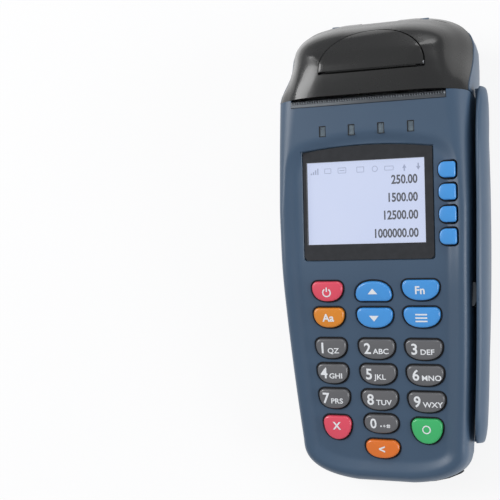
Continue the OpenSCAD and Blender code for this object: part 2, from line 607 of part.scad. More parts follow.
module rear_cavity() loft([for (j = [0:3]) in_ring(j)]);

well_x = battery_w / 2 + 1.8;
well_y0 = bend_y - 9.5;
well_y1 = well_y0 + battery_l + 0.5;
plate_x = well_x + 2.3;
plate_y0 = well_y0 - 7.7;
plate_y1 = well_y1 + 4.2;
plate_slide = 6;
ledge_z0 = base_z + 1.6;
ledge_z1 = base_z + 3.2;
hook_y = [well_y0 + 8, well_y1 - 16];
roll_edge_r = 4;
hinge_y = rear_y - roll_edge_r;
hinge_z = seam_rear_z;
barrel_r = 3.2;
knuckles = [[-7.5, 7.5], [17, 19.6], [-19.6, -17]];
pin_hw = 19.6;
pin_r = 1.2;
mouth_z0 = 6.6;
mouth_z1 = 9;
mouth_hw = card_w / 2 + 1.4;
card_z = 8;

module rear_housing() color(c_shell) centred() difference() {
    union() {
        difference() {
            union() {
                difference() {
                    rear_outer();
                    rear_cavity();
                }
                box(-plate_x - 2.6, plate_x + 2.6, plate_y0 - 1.6, plate_y1 + plate_slide + 1.6,
                    base_z + 0.9, ledge_z1);
            }
            // Recess of the battery cover, the well's opening and its hook notches
            box(-plate_x - 0.25, plate_x + 0.25, plate_y0 - 0.3, plate_y1 + plate_slide + 0.3,
                -1, ledge_z0);
            box(-well_x, well_x, well_y0, well_y1, -1, ledge_z1 + 1);
            for (y = hook_y) for (s = [-1, 1]) translate([s * well_x, y + plate_slide + 2.5, 0])
                box(-2.1, 2.1, -2.9, 2.9, ledge_z0 - 0.5, ledge_z1 + 1);
            // Room for the swing of the cover's rear edge
            rod_x(roll_edge_r + 0.3, -50, 50, hinge_y, hinge_z, 64);
            box(-50, 50, hinge_y, rear_y + 5, hinge_z - roll_edge_r - 0.45, 60);
            // Notch of the chip-card mouth
            box(-mouth_hw - 0.2, mouth_hw + 0.2, front_y - 2, front_y + 20, mouth_z0 - 0.1, 20);
            for (p = screw_at) translate([p[0], p[1], -1]) cylinder(r = 2.5, h = 6, $fn = 32);
            // Slots of the speaker grille
            for (i = [-2:2]) translate([speaker_x + i * 2.1, speaker_y, -1])
                box(-0.5, 0.5, -speaker_r + 1.6 + abs(i), speaker_r - 1.6 - abs(i), 0, 8);
        }
        // Side walls of the battery well
        for (s = [-1, 1]) translate([s * (well_x + 2.9), 0, 0])
            box(-0.6, 0.6, well_y0 - 1, well_y1 + 1, ledge_z1 - 0.5, 15);
        box(-well_x, well_x, well_y0 - 1.6, well_y0 - 0.4, ledge_z1 - 0.5, 14);
        // Screw columns
        for (p = screw_at) translate([p[0], p[1], base_z + 1.9])
            cylinder(r = 3.2, h = part_z(p[1]) - 0.3 - base_z - 1.9, $fn = 32);
        // Blocks under the printer frame
        for (s = [-1, 1]) translate([mech_x + s * (frame_x + frame_t / 2), 0, 0])
            box(-2.2, 2.2, frame_y0 + 0.5, frame_y0 + 9, base_z + 1.6, frame_z0);
        // Ring around the speaker
        difference() {
            translate([speaker_x, speaker_y, floor_z - 0.4]) cylinder(r = speaker_r + 1.2, h = 2.4, $fn = 48);
            translate([speaker_x, speaker_y, floor_z - 1]) cylinder(r = speaker_r + 0.15, h = 4, $fn = 48);
        }
        // Hinge knuckles for the cover
        for (x = knuckles) {
            rod_x(barrel_r, x[0], x[1], hinge_y, hinge_z, 48);
            box(x[0], x[1], hinge_y - 3, hinge_y, hinge_z - 6, hinge_z);
            box(x[0], x[1], hinge_y - 3, hinge_y + 2.6, hinge_z - 6, hinge_z - roll_edge_r - 0.6);
        }
    }
    // Screw holes: head from below, shank through the top of the column
    for (p = screw_at) translate([p[0], p[1], -1]) {
        cylinder(r = 2.5, h = part_z(p[1]) - 4, $fn = 32);
        cylinder(r = 1.35, h = part_z(p[1]) + 2, $fn = 24);
    }
    rod_x(pin_r, -pin_hw - 0.1, pin_hw + 0.1, hinge_y, hinge_z, 32);
    // Pockets of the feet
    for (p = foot_at) translate([p[0], p[1], base_z - 1]) cylinder(r = foot_r + 0.1, h = 1.6, $fn = 40);
    // Holes for the rail's pegs
    for (y = peg_y) on_peg(y) translate([0, 0, -wall - 4]) cylinder(r = 1.15, h = 8, $fn = 32);
}
foot_r = 4;
foot_at = [[-18, front_y + 16], [18, front_y + 16], [-25, tail_y - 6], [25, tail_y - 6]];
module rubber_feet() color(c_rubber) centred() for (p = foot_at) translate([p[0], p[1], 0])
    cylinder(r = foot_r, h = base_z + 0.6, $fn = 40);
module housing_screws() color(c_steel) centred() for (p = screw_at) {
    head_at = part_z(p[1]) - 5;
    translate([p[0], p[1], head_at - 1.8]) difference() {
        cylinder(r = 2.2, h = 1.8, $fn = 32);
        for (a = [0, 90]) rotate([0, 0, a]) box(-1.3, 1.3, -0.3, 0.3, -1, 0.9);
    }
    translate([p[0], p[1], head_at - 0.1]) cylinder(r = 1.25, h = 4.9, $fn = 24);
    translate([p[0], p[1], head_at + 4.7]) cylinder(r = pilot_r, h = 6.5, $fn = 24);
}

speaker_r = 6;
speaker_x = 14;
speaker_y = plate_y0 - 1.6 - 0.3 - speaker_r - 1.2;
reader_y1 = speaker_y - speaker_r - 1.9;
module card_reader() color(c_black) centred() difference() {
    union() {
        intersection() {
            box(-mouth_hw - 0.4, mouth_hw + 0.4, front_y, reader_y1, mouth_z0, 11);
            plan(front_side(wall + 1.6, 0), 0, 20);
        }
        intersection() {
            box(-mouth_hw - 0.4, mouth_hw + 0.4, front_y, reader_y1, floor_z + 0.2, mouth_z0 + 0.1);
            plan(front_side(9, 0), 0, 20);
        }
        intersection() {
            box(-mouth_hw, mouth_hw, front_y - 2, front_y + 14, mouth_z0, mouth_z1);
            plan(front_side(-0.5, 0), 0, 20);
        }
    }
    box(-card_w / 2, card_w / 2, front_y - 3, reader_y1 - 3, card_z - card_gap / 2, card_z + card_gap / 2);
}
module speaker() color(c_black) centred() translate([speaker_x, speaker_y, floor_z + 0.1]) {
    cylinder(r = speaker_r, h = 3.2, $fn = 48);
    cylinder(r = speaker_r - 2.2, h = 4.4, $fn = 48);
}
module battery_pack() color([0.2, 0.25, 0.35]) centred() difference() {
    box(-battery_w / 2, battery_w / 2, well_y0 + 0.3, well_y0 + battery_l, base_z + 1.8,
        base_z + 1.8 + battery_h);
    for (x = [-9, -3, 3, 9]) box(x - 1.3, x + 1.3, well_y0 + battery_l - 0.6, well_y0 + battery_l + 1, 9, 13);
}
module battery_contacts() color(c_black) centred() {
    box(-13, 13, well_y1 + 0.7, well_y1 + 4.2, ledge_z1 + 0.1, 15);
    for (x = [-9, -3, 3, 9]) box(x - 0.8, x + 0.8, well_y1 - 0.9, well_y1 + 1, 10, 12);
}
module battery_cover() color(c_shell) centred() difference() {
    union() {
        box(-plate_x, plate_x, plate_y0, plate_y1, base_z + 0.1, ledge_z0 - 0.1);
        for (y = hook_y) for (s = [-1, 1]) {
            translate([s * (well_x - 0.95), y, 0]) box(-0.65, 0.65, 0, 5, ledge_z0 - 0.2, ledge_z1 + 1.4);
            translate([s * (well_x + 0.15), y, 0]) box(-1.4, 1.4, 0, 5, ledge_z1 + 0.3, ledge_z1 + 1.4);
        }
    }
    for (i = [0:4]) box(-8, 8, plate_y0 + 4 + i * 2, plate_y0 + 5 + i * 2, 0, base_z + 0.6);
}

/* Printer */

// The mechanism sits a little to the right, to leave room for the gears
mech_x = 0.4;
module mech() centred() translate([mech_x, 0, 0]) children();
bay_wall = 0.8;
bay_in = roll_r + 0.5;
bay_out = bay_in + bay_wall;
bay_y = hinge_y - roll_edge_r + 0.6 - bay_out;
bay_z = floor_z + 0.3 + bay_out;
bay_hw = 29.4;
platen_y = cover_y + 6.3;
platen_z = 38;
// The bay's rear wall leans forward, clear of the cover's rolled edge
bay_low = hinge_z - roll_edge_r + 0.3;
bay_rise = 6.9;
module bay_box(x, d, rise) plate_yz(-x, x, [[bay_y - bay_out + d, bay_z], [bay_y + bay_out - d, bay_z],
    [bay_y + bay_out - d, bay_low], [bay_y + bay_out - d - 0.52 * rise, bay_low + rise],
    [bay_y - bay_out + d, bay_low + rise]]);
module paper_bay() color(c_black) mech() difference() {
    union() {
        rod_x(bay_out, -bay_hw, bay_hw, bay_y, bay_z, 96);
        bay_box(bay_hw, 0, bay_rise);
    }
    rod_x(bay_in, -bay_hw + bay_wall, bay_hw - bay_wall, bay_y, bay_z, 96);
    bay_box(bay_hw - bay_wall, bay_wall, 2 * bay_rise);
    box(-bay_hw - 1, bay_hw + 1, bay_y - bay_out - 1, bay_y + bay_out + 1, bay_low + bay_rise - 0.01, 60);
    box(-bay_hw - 1, bay_hw + 1, bay_y - bay_out - 1, bay_y - 8, bay_z + 8.8, bay_z + 20);
}
frame_x = bay_hw + 0.3;
frame_t = 1;
frame_z0 = 12;
frame_y1 = platen_y + 4.5;
bar_y = cover_y - 4;
bush_r = 2.3;
motor_r = 6.5;
motor_y = bay_y - bay_out - 0.9 - motor_r;
frame_y0 = motor_y - 3;
gear_mesh = 22.25;
z_platen = 14;
z_idler = 34;
z_pinion = 10;
motor_z = platen_z - sqrt(pow(gear_mesh, 2) - pow(platen_y - motor_y, 2));
d_pi = gear_m * (z_platen + z_idler) / 2;
d_im = gear_m * (z_idler + z_pinion) / 2;
d_pm = norm([platen_y - motor_y, platen_z - motor_z]);
// The idler sits below the line from the platen to the motor, at both centre distances
a_pm = atan2(motor_z - platen_z, motor_y - platen_y);
a_off = acos((d_pi * d_pi + d_pm * d_pm - d_im * d_im) / (2 * d_pi * d_pm));
a_pi = a_pm + a_off;
idler_y = platen_y + d_pi * cos(a_pi);
idler_z = platen_z + d_pi * sin(a_pi);
frame_pts = [[frame_y0, frame_z0], [frame_y0 + 10, frame_z0], [frame_y0 + 10, 22],
    [frame_y1 - 6, platen_z - 13.5], [frame_y1, platen_z - 7.5], [frame_y1, platen_z + 0.8],
    [bar_y - 0.5, platen_z + 0.8], [bar_y - 0.5, platen_z - 1.1], [frame_y0, platen_z - 2.2]];
// The notches for the platen's bushes open the way that the cover swings
swing_a = atan2(platen_z - hinge_z, hinge_y - platen_y);
module printer_frame() color(c_steel) mech() {
    for (s = [-1, 1]) difference() {
        plate_yz(s < 0 ? -frame_x - frame_t : frame_x, s < 0 ? -frame_x : frame_x + frame_t, frame_pts);
        rod_x(bush_r + 0.3, -40, 40, platen_y, platen_z, 48);
        translate([0, platen_y, platen_z]) rotate([-swing_a, 0, 0])
            box(-40, 40, -bush_r - 0.3, bush_r + 0.3, 0, 9);
        if (s < 0) rod_x(2.2, -40, 0, motor_y, motor_z, 32);
    }
    box(-frame_x - 0.2, frame_x + 0.2, bar_y, bar_y + 1.2, platen_z - 6.3, platen_z - 1.1);
    rod_x(1, -frame_x - frame_t - 2, -frame_x, idler_y, idler_z, 32);
}
head_face_y = platen_y - platen_r - 0.3;
module print_head() color(c_steel) mech() translate([0, head_face_y, platen_z]) {
    box(-frame_x + 0.3, frame_x - 0.3, -2.2, -0.8, -8.5, 2.9);
    box(-28, 28, -1, 0, -4.5, 3.5);
    for (i = [0:5]) box(-22 + i * 8, -20 + i * 8, -2.9, -2, -8.1, -6.5);
}
module head_spring() color(c_brass) mech() {
    box(-16, 16, bar_y + 1.2, bar_y + 1.5, platen_z - 5.5, platen_z - 1.5);
    for (x = [-13, 0, 13]) plate_yz(x - 2, x + 2, [[bar_y + 1.4, platen_z - 2], [bar_y + 1.4, platen_z - 2.4],
        [head_face_y - 2.5, platen_z - 5.2], [head_face_y - 2.3, platen_z - 4.9]]);
}
tear_hw = 30.6;
tear_x = -0.4;
tooth_n = round(2 * tear_hw);
tooth_p = 2 * tear_hw / tooth_n;
module tear_bar() color(c_steel) centred() translate([tear_x, tear_y, 0]) {
    box(-tear_hw, tear_hw, -1.3, 0, rim(tear_y) - 1, rim(tear_y) + 0.1);
    box(-tear_hw, tear_hw, -0.1, 0.9, rim(tear_y) - 4, rim(tear_y) + 0.1);
    translate([-tear_hw, 0.85, rim(tear_y)]) rotate([90, 0, 0]) linear_extrude(0.9)
        polygon(concat([[0, -0.1]], [for (i = [0:tooth_n - 1]) for (t = [0, 1])
            [(i + t * 0.5) * tooth_p, t * 0.8]], [[2 * tear_hw, 0], [2 * tear_hw, -0.1]]));
}
module stepper_motor() color(c_steel) mech() {
    rod_x(motor_r, -28.6, -17, motor_y, motor_z, 64);
    rod_x(0.75, -frame_x - frame_t - 1.9, -28, motor_y, motor_z, 24);
    box(-frame_x, -28.5, motor_y - 2.8, motor_y + 2.8, motor_z - 8.5, motor_z + 3);
}

// Gear with straight-flanked teeth and a little backlash, its first tooth at the angle turn
module gear(z, x0, x1, y, zz, turn, bore, hub = 0) {
    rp = gear_m * z / 2;
    ro = rp + gear_m * 0.9;
    ri = rp - gear_m * 1.2;
    step = 360 / z;
    translate([x0, y, zz]) rotate([90, 0, 90]) difference() {
        union() {
            linear_extrude(x1 - x0) polygon([for (i = [0:z - 1]) for (q = [[ri, -0.3], [ro, -0.11], [ro, 0.11], [ri, 0.3]])
                [q[0] * cos(turn + (i + q[1]) * step), q[0] * sin(turn + (i + q[1]) * step)]]);
            if (hub > 0) cylinder(r = hub, h = x1 - x0 + 0.3, $fn = 32);
        }
        translate([0, 0, -1]) cylinder(r = bore, h = x1 - x0 + 3, $fn = 32);
    }
}
gear_x0 = -frame_x - frame_t - 1.8;
gear_x1 = gear_x0 + 1.4;
// A tooth of the driver points at the idler, and a gap of the idler points back
turn_idler = a_pi + 180 + 180 / z_idler;
turn_platen = a_pi;
a_im = atan2(motor_z - idler_z, motor_y - idler_y);
idler_phase = (a_im - turn_idler) * z_idler / 360;
turn_pinion = a_im + 180 + (idler_phase - floor(idler_phase) - 0.5) * 360 / z_pinion;
module platen_gear() color(c_white) mech()
    gear(z_platen, gear_x0, gear_x1, platen_y, platen_z, turn_platen, shaft_r);
module idler_gear() color(c_white) mech()
    gear(z_idler, gear_x0, gear_x1, idler_y, idler_z, turn_idler, 1.05);
module motor_pinion() color(c_brass) mech()
    gear(z_pinion, gear_x0, gear_x1, motor_y, motor_z, turn_pinion, 0.8);
shaft_r = 1.5;
module platen_shaft() color(c_steel) mech() rod_x(shaft_r, gear_x0 - 0.1, frame_x + 1.2, platen_y, platen_z, 40);
module platen_roller() color(c_rubber) mech() difference() {
    rod_x(platen_r, -27.9, 27.9, platen_y, platen_z, 64);
    rod_x(shaft_r, -29, 29, platen_y, platen_z, 40);
}
module platen_bushes() color(c_white) mech() for (s = [-1, 1]) difference() {
    rod_x(bush_r, s < 0 ? -frame_x - 0.9 : 28.4, s < 0 ? -28.4 : frame_x + 0.9, platen_y, platen_z, 40);
    rod_x(shaft_r + 0.05, -40, 40, platen_y, platen_z, 40);
}

// Cover: domed shell on a falling seam, straight front edge, rounded rear
function cover_z(y) = lookup((y - cover_y) / cover_l, [[0, cover_top_z - 1.2], [0.09, cover_top_z - 0.6],
    [0.2, cover_top_z - 0.1], [0.32, cover_top_z], [0.47, cover_top_z - 0.4], [0.6, cover_top_z - 0.8],
    [1, cover_top_z - 0.8]]);
cover_f = [0, 0.2, 0.44, 0.63, 0.8, 0.92, 0.98, 1];
cover_d = [1.2, 2.5, 4.7, 6.6, 9.2, 13.5, 17.5, 21];
function cover_side(d, y0) = concat([for (y = concat([cover_y], seam_ys))
    let (yy = cover_y + (y - cover_y) * (tail_at(d) - cover_y) / (tail_y - cover_y))
    [hw(y) - d, y == cover_y ? y0 : yy]], tail_side(d));
function cover_ring(f, d, y0, z_low, drop) = let (r = ring_of(cover_side(d, y0)))
    raise(r, [for (p = r) let (y = max(p[1], cover_y)) mix(seam_z(y) - z_low, cover_z(y) - drop, f)]);
module cover_outer() loft([for (j = [0:7]) cover_ring(cover_f[j], cover_d[j], cover_y, 0, 0)]);
module cover_inner() loft([for (j = [0:7]) cover_ring(cover_f[j], cover_d[j] + cover_t, cover_y - 3,
    0.8, cover_t)]);
module dome(h) translate([0, 0, h]) cover_outer();
// Height of the dome along its middle line
function dome_z(y) = mix(seam_z(y), cover_z(y), lookup(rear_y - y, [for (j = [0:7]) [cover_d[j], cover_f[j]]]));
lever_x = 2;
lever_y0 = cover_y + 9.2;
lever_l = 16;
lever_in = 1.1;
lever_out = 0.8;
lever_gap = 0.35;
lever_pin_y = lever_y0 + 0.7;
lever_pin_z = dome_z(lever_pin_y) - 1.1;
function lever_pts(g) = concat([[-lever_hw - g, lever_y0 - g], [lever_hw + g, lever_y0 - g]],
    [for (a = [10:10:170]) [(lever_hw + g) * cos(a), lever_y0 + 1 + (lever_l - 1 + g) * sin(a)]]);
module lever_plan(g) translate([lever_x, 0, 40]) linear_extrude(30) polygon(lever_pts(g));
lever_barrel_r = 1.3;
lever_floor = 0.5;
module release_lever() color(c_smoke) centred() difference() {
    union() {
        difference() {
            intersection() {
                dome(lever_out);
                lever_plan(0);
            }
            dome(-lever_in);
        }
        rod_x(lever_barrel_r, lever_x - lever_hw + 3, lever_x + lever_hw - 3, lever_pin_y, lever_pin_z, 40);
    }
    rod_x(0.85, -40, 40, lever_pin_y, lever_pin_z, 32);
}
module lever_pin() color(c_steel) centred()
    rod_x(0.8, lever_x - lever_hw - 0.2, lever_x + lever_hw + 0.2, lever_pin_y, lever_pin_z, 32);
module printer_cover() color(c_smoke) centred() difference() {
    union() {
        difference() {
            union() {
                difference() {
                    cover_outer();
                    cover_inner();
                }
                cover_arms();
                // Thicker floor under the lever
                difference() {
                    intersection() {
                        dome(-0.9);
                        lever_plan(1.6);
                    }
                    dome(-3.4);
                }
                // Rolled rear edge about the hinge line
                intersection() {
                    rod_x(roll_edge_r, -45, 45, hinge_y, hinge_z, 64);
                    plan(full_side(0.05), 20, 60);
                }
            }
            // Pocket of the lever, with room for its barrel and for its front edge to swing
            difference() {
                lever_plan(lever_gap);
                dome(-lever_in - lever_floor);
            }
            translate([lever_x, lever_pin_y, lever_pin_z]) {
                box(-lever_hw - lever_gap, lever_hw + lever_gap, -1.75, 0, -lever_floor, 10);
                box(-lever_hw + 2.6, lever_hw - 2.6, -1.75, 1.75, -3, 10);
            }
        }
        // Blocks that hold the ends of the lever's pin
        for (s = [-1, 1]) translate([lever_x + s * (lever_hw - 2.4), lever_pin_y, lever_pin_z])
            box(-0.4, 0.4, -1.1, 1.1, -2.1, -0.6);
    }
    rod_x(0.8, lever_x - lever_hw - 0.3, lever_x + lever_hw + 0.3, lever_pin_y, lever_pin_z, 32);
    rod_x(bush_r, -35, 35, platen_y, platen_z, 40);
    // Room for the gear on the platen's shaft
    rod_x(gear_m * z_platen / 2 + 1, mech_x + gear_x0 - 0.4, mech_x + gear_x1 + 0.5, platen_y, platen_z);
    rod_x(pin_r + 0.05, -pin_hw - 0.5, pin_hw + 0.5, hinge_y, hinge_z, 32);
    for (x = knuckles) rod_x(roll_edge_r + 0.2, x[0] - 0.3, x[1] + 0.3, hinge_y, hinge_z, 48);
}
// Arms that carry the platen
arm_x = 28.95;
module cover_arms() for (s = [-1, 1]) translate([mech_x + s * arm_x, 0, 0]) {
    plate_yz(-0.55, 0.55, [[platen_y - 3.4, platen_z - 2.6], [platen_y + 3.4, platen_z - 2.6],
        [platen_y + 5.5, platen_z + 7], [platen_y - 3.4, platen_z + 7]]);
    intersection() {
        plate_yz(-0.55, 0.55, [[platen_y - 3.4, platen_z + 6], [platen_y + 5.3, platen_z + 6],
            [platen_y + 7, 60], [platen_y - 3.4, 60]]);
        translate([-mech_x - s * arm_x, 0, 0]) dome(-0.2);
    }
}
module cover_hinge_pin() color(c_steel) centred() rod_x(pin_r, -pin_hw, pin_hw, hinge_y, hinge_z, 32);

front_housing();
rear_housing();
swipe_rail();
display_window();
lcd_panel();
key_mat();
keypad_board();
main_board();
port_sockets();
status_lights();
card_reader();
speaker();
printer_frame();
print_head();
head_spring();
tear_bar();
stepper_motor();
paper_bay();
battery_pack();
battery_contacts();
cover_hinge_pin();
rubber_feet();
housing_screws();
printer_cover();
platen_bushes();
lever_pin();
release_lever();
platen_shaft();
platen_roller();
platen_gear();
idler_gear();
motor_pinion();
mag_head();
mag_head_spring();
battery_cover();
port_cover();
key_0();
key_1();
key_2();
key_3();
key_4();
key_5();
key_6();
key_7();
key_8();
key_9();
key_power();
key_alpha();
key_up();
key_down();
key_func();
key_menu();
key_cancel();
key_enter();
key_clear();
soft_key_1();
soft_key_2();
soft_key_3();
soft_key_4();
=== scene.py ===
# %% [markdown]
# # A payment terminal for a shop counter
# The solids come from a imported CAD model, which is loaded first and never moved. This lesson
# dresses them: soft-edged plastic shells, domed keys with printed legends, a screen behind a
# printed window, and the glossy smoked cover of the receipt printer. Lengths are written in
# millimetres, as on a drawing, and turned into metres where a mesh is made.

# %% Load the frame
import json
import math
import bmesh
import bpy
import numpy as np
from mathutils import Matrix, Vector

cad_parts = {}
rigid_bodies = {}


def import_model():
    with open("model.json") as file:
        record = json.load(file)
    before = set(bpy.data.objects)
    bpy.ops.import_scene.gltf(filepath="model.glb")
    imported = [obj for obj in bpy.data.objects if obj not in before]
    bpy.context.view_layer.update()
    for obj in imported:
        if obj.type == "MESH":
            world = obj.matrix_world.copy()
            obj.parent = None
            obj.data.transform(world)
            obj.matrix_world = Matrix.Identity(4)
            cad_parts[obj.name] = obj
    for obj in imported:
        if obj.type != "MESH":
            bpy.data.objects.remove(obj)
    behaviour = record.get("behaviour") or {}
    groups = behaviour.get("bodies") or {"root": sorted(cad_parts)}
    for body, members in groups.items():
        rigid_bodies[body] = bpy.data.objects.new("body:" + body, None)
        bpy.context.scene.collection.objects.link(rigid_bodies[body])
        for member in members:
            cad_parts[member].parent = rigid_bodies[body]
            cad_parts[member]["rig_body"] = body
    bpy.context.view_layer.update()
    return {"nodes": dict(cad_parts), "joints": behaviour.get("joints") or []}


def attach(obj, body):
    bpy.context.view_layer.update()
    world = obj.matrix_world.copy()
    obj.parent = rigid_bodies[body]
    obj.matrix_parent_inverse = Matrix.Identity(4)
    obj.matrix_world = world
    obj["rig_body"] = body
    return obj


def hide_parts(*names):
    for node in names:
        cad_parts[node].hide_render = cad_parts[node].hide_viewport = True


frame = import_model()
nodes = frame["nodes"]
MM = 0.001
body_of = {n: o["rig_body"] for n, o in nodes.items()}

# %% [markdown]
# ## The photographer's place
# The picture was taken from above the counter, a little beyond the front right corner. The
# camera's place and lens were solved from the keys, the screen and the lights, so the frame is
# written here as three directions: right, up and backwards.

# %% Camera
camera_data = bpy.data.cameras.new("camera")
camera_data.lens = 78.62
camera_data.sensor_width = 36.0
camera_data.clip_start = 0.01
camera = bpy.data.objects.new("camera", camera_data)
bpy.context.scene.collection.objects.link(camera)
right = Vector((0.920661, 0.020645, -0.389818))
up = Vector((0.021009, 0.994533, 0.102290))
back = right.cross(up)
view = Matrix((right, up, back)).transposed().to_4x4()
view.translation = Vector((116.16, -45.70, 440.22)) * MM
camera.matrix_world = view
bpy.context.scene.camera = camera
print("camera looks along", [round(-c, 3) for c in back])

# %% [markdown]
# ## The studio
# A pale sweep under the terminal, a large soft lamp from the upper left, a second one low on
# the right for the sheen on the flank, and a strip behind the printer that puts the long
# reflection on its glossy cover. The camera sees the floor as nearly white, because part of
# its colour is given only to camera rays, and the rest of it keeps the object's shadow.

# %% Floor, world and lamps
def quad(name, size, z):
    mesh = bpy.data.meshes.new(name)
    s = size / 2
    mesh.from_pydata([(-s, -s, z), (s, -s, z), (s, s, z), (-s, s, z)], [], [(0, 1, 2, 3)])
    obj = bpy.data.objects.new(name, mesh)
    bpy.context.scene.collection.objects.link(obj)
    return obj


def soft_lamp(name, place, target, width, height, watts, tint=(1, 1, 1), shine=1.0):
    data = bpy.data.lights.new(name, "AREA")
    data.specular_factor = shine
    data.shape = "RECTANGLE"
    data.size, data.size_y, data.energy, data.color = width, height, watts, tint
    lamp = bpy.data.objects.new(name, data)
    bpy.context.scene.collection.objects.link(lamp)
    aim = (Vector(target) - Vector(place)).to_track_quat("-Z", "Y")
    lamp.matrix_world = Matrix.LocRotScale(Vector(place), aim, None)
    return lamp


soft_lamp("key_lamp", (-0.85, 0.25, 0.75), (0, 0, 0.02), 0.6, 0.6, 8.0, shine=0.3)
soft_lamp("flank_lamp", (0.95, -0.15, 0.16), (0, 0, 0.02), 0.5, 0.9, 9.0, (0.97, 0.98, 1))
soft_lamp("cover_lamp", (0.25, 0.85, 0.55), (0, 0.07, 0.04), 0.7, 0.25, 2.2)
bpy.context.scene.view_settings.view_transform = "Standard"

# %% [markdown]
# ## Shader maths as Python
# A finish is a few sums over the surface. This class wraps a socket, so that a sum written in
# Python adds the matching Math nodes, also where the number stands on the left.

# %% A socket that can be added and multiplied
class Level:
    def __init__(self, look, socket):
        self.look, self.socket = look, socket

    def math(self, kind, *others, clamp=False):
        return self.look.node("ShaderNodeMath", {"operation": kind, "use_clamp": clamp},
                              {i: v for i, v in enumerate((self,) + others)})[0]

    def __add__(self, other): return self.math("ADD", other)
    def __sub__(self, other): return self.math("SUBTRACT", other)
    def __mul__(self, other): return self.math("MULTIPLY", other)
    def __truediv__(self, other): return self.math("DIVIDE", other)
    __radd__, __rmul__ = __add__, __mul__
    def __rsub__(self, other): return (self * -1.0) + other
    def __abs__(self): return self.math("ABSOLUTE")
    def most(self, other): return self.math("MAXIMUM", other)
    def held(self): return self.math("ADD", 0.0, clamp=True)


class Look:
    def __init__(self, name):
        self.material = bpy.data.materials.new(name)
        self.material.use_nodes = True
        self.tree = self.material.node_tree
        self.tree.nodes.clear()

    def node(self, kind, settings=None, sockets=None):
        made = self.tree.nodes.new(kind)
        for key, value in (settings or {}).items():
            setattr(made, key, value)
        for key, value in (sockets or {}).items():
            target = made.inputs[key]
            if isinstance(value, Level):
                self.tree.links.new(value.socket, target)
            elif isinstance(value, bpy.types.NodeSocket):
                self.tree.links.new(value, target)
            elif target.type == "RGBA":
                target.default_value = tuple(value) + (1.0,)
            else:
                target.default_value = value
        return [Level(self, s) for s in made.outputs if s.enabled]

    def place(self, at=(0, 0, 0), turn=(0, 0, 0), stretch=(1, 1, 1)):
        """Object coordinates in millimetres, moved, turned and stretched."""
        where = self.node("ShaderNodeTexCoord")[3]
        return self.node("ShaderNodeMapping", {"vector_type": "TEXTURE"}, {
            "Vector": where, "Location": [c * MM for c in at], "Rotation": turn,
            "Scale": [MM * s for s in stretch]})[0]

    def noise(self, size_mm, detail=2.0, rough=0.5, **where):
        return self.node("ShaderNodeTexNoise", {}, {"Vector": self.place(**where),
                         "Scale": 1.0 / size_mm, "Detail": detail, "Roughness": rough})[0]

    def between(self, colour_a, colour_b, amount, blend="MIX"):
        """Two colours mixed, or blended in another way, by the Mix node's colour mode."""
        made = self.tree.nodes.new("ShaderNodeMix")
        made.data_type, made.blend_type = "RGBA", blend
        for socket, value in ((made.inputs[0], amount), (made.inputs[6], colour_a),
                              (made.inputs[7], colour_b)):
            if isinstance(value, Level):
                self.tree.links.new(value.socket, socket)
            elif isinstance(value, (int, float)):
                socket.default_value = value
            else:
                socket.default_value = tuple(value) + (1.0,)
        return Level(self, made.outputs[2])

    def bump(self, height, strength, distance_mm):
        return self.node("ShaderNodeBump", {}, {"Height": height, "Strength": strength,
                                               "Distance": distance_mm * MM})[0]

    def finish(self, **sockets):
        shader = self.node("ShaderNodeBsdfPrincipled", {}, sockets)[0]
        self.node("ShaderNodeOutputMaterial", {}, {"Surface": shader})
        return self.material


def tone(r, g, b):
    """An eight-bit screen colour as the linear colour that a shader wants."""
    return tuple((c / 255 / 12.92) if c <= 10 else ((c / 255 + 0.055) / 1.055) ** 2.4
                 for c in (r, g, b))


def shade(colour, factor):
    return tuple(min(1.0, c * factor) for c in colour)


print("slate blue is", [round(c, 3) for c in tone(64, 85, 107)])

# %% [markdown]
# The floor mixes two shaders by Light Path: what the camera, a mirror or a pane of glass sees
# is mostly a plain white, and everything else sees an ordinary pale surface.

# %% Floor and world materials
def studio_paper():
    look = Look("studio_paper")
    rays = look.node("ShaderNodeLightPath")
    names = [s.name for s in look.tree.nodes[-1].outputs]
    seen = rays[names.index("Is Camera Ray")].most(rays[names.index("Is Glossy Ray")]).most(
        rays[names.index("Is Transmission Ray")])
    pale = look.between(tone(236, 236, 238), tone(242, 242, 243), look.noise(60.0))
    paper = look.node("ShaderNodeBsdfDiffuse", {}, {"Color": pale})[0]
    white = look.node("ShaderNodeEmission", {}, {"Color": (1, 1, 1), "Strength": 1.0})[0]
    mixed = look.node("ShaderNodeMixShader", {}, {0: seen * 0.86, 1: paper, 2: white})[0]
    look.node("ShaderNodeOutputMaterial", {}, {"Surface": mixed})
    return look.material


floor = quad("floor", 8.0, -0.0002)
floor.data.materials.append(studio_paper())
world = bpy.data.worlds.new("studio")
bpy.context.scene.world = world
world.use_nodes = True
world.node_tree.nodes["Background"].inputs["Color"].default_value = (0.93, 0.95, 1.0, 1.0)
world.node_tree.nodes["Background"].inputs["Strength"].default_value = 0.42
print("floor and world are ready")

# %% [markdown]
# ## Moulded plastic
# Injection-moulded plastic isn't one flat colour. Its texture is a fine spark-eroded grain of
# about 0.3 mm, its colour drifts a little over some centimetres, and fingers polish it in
# cloudy patches. The same recipe with other numbers gives the satin slate-blue shell, the
# glossy smoked cover, the keys and the black parts inside.

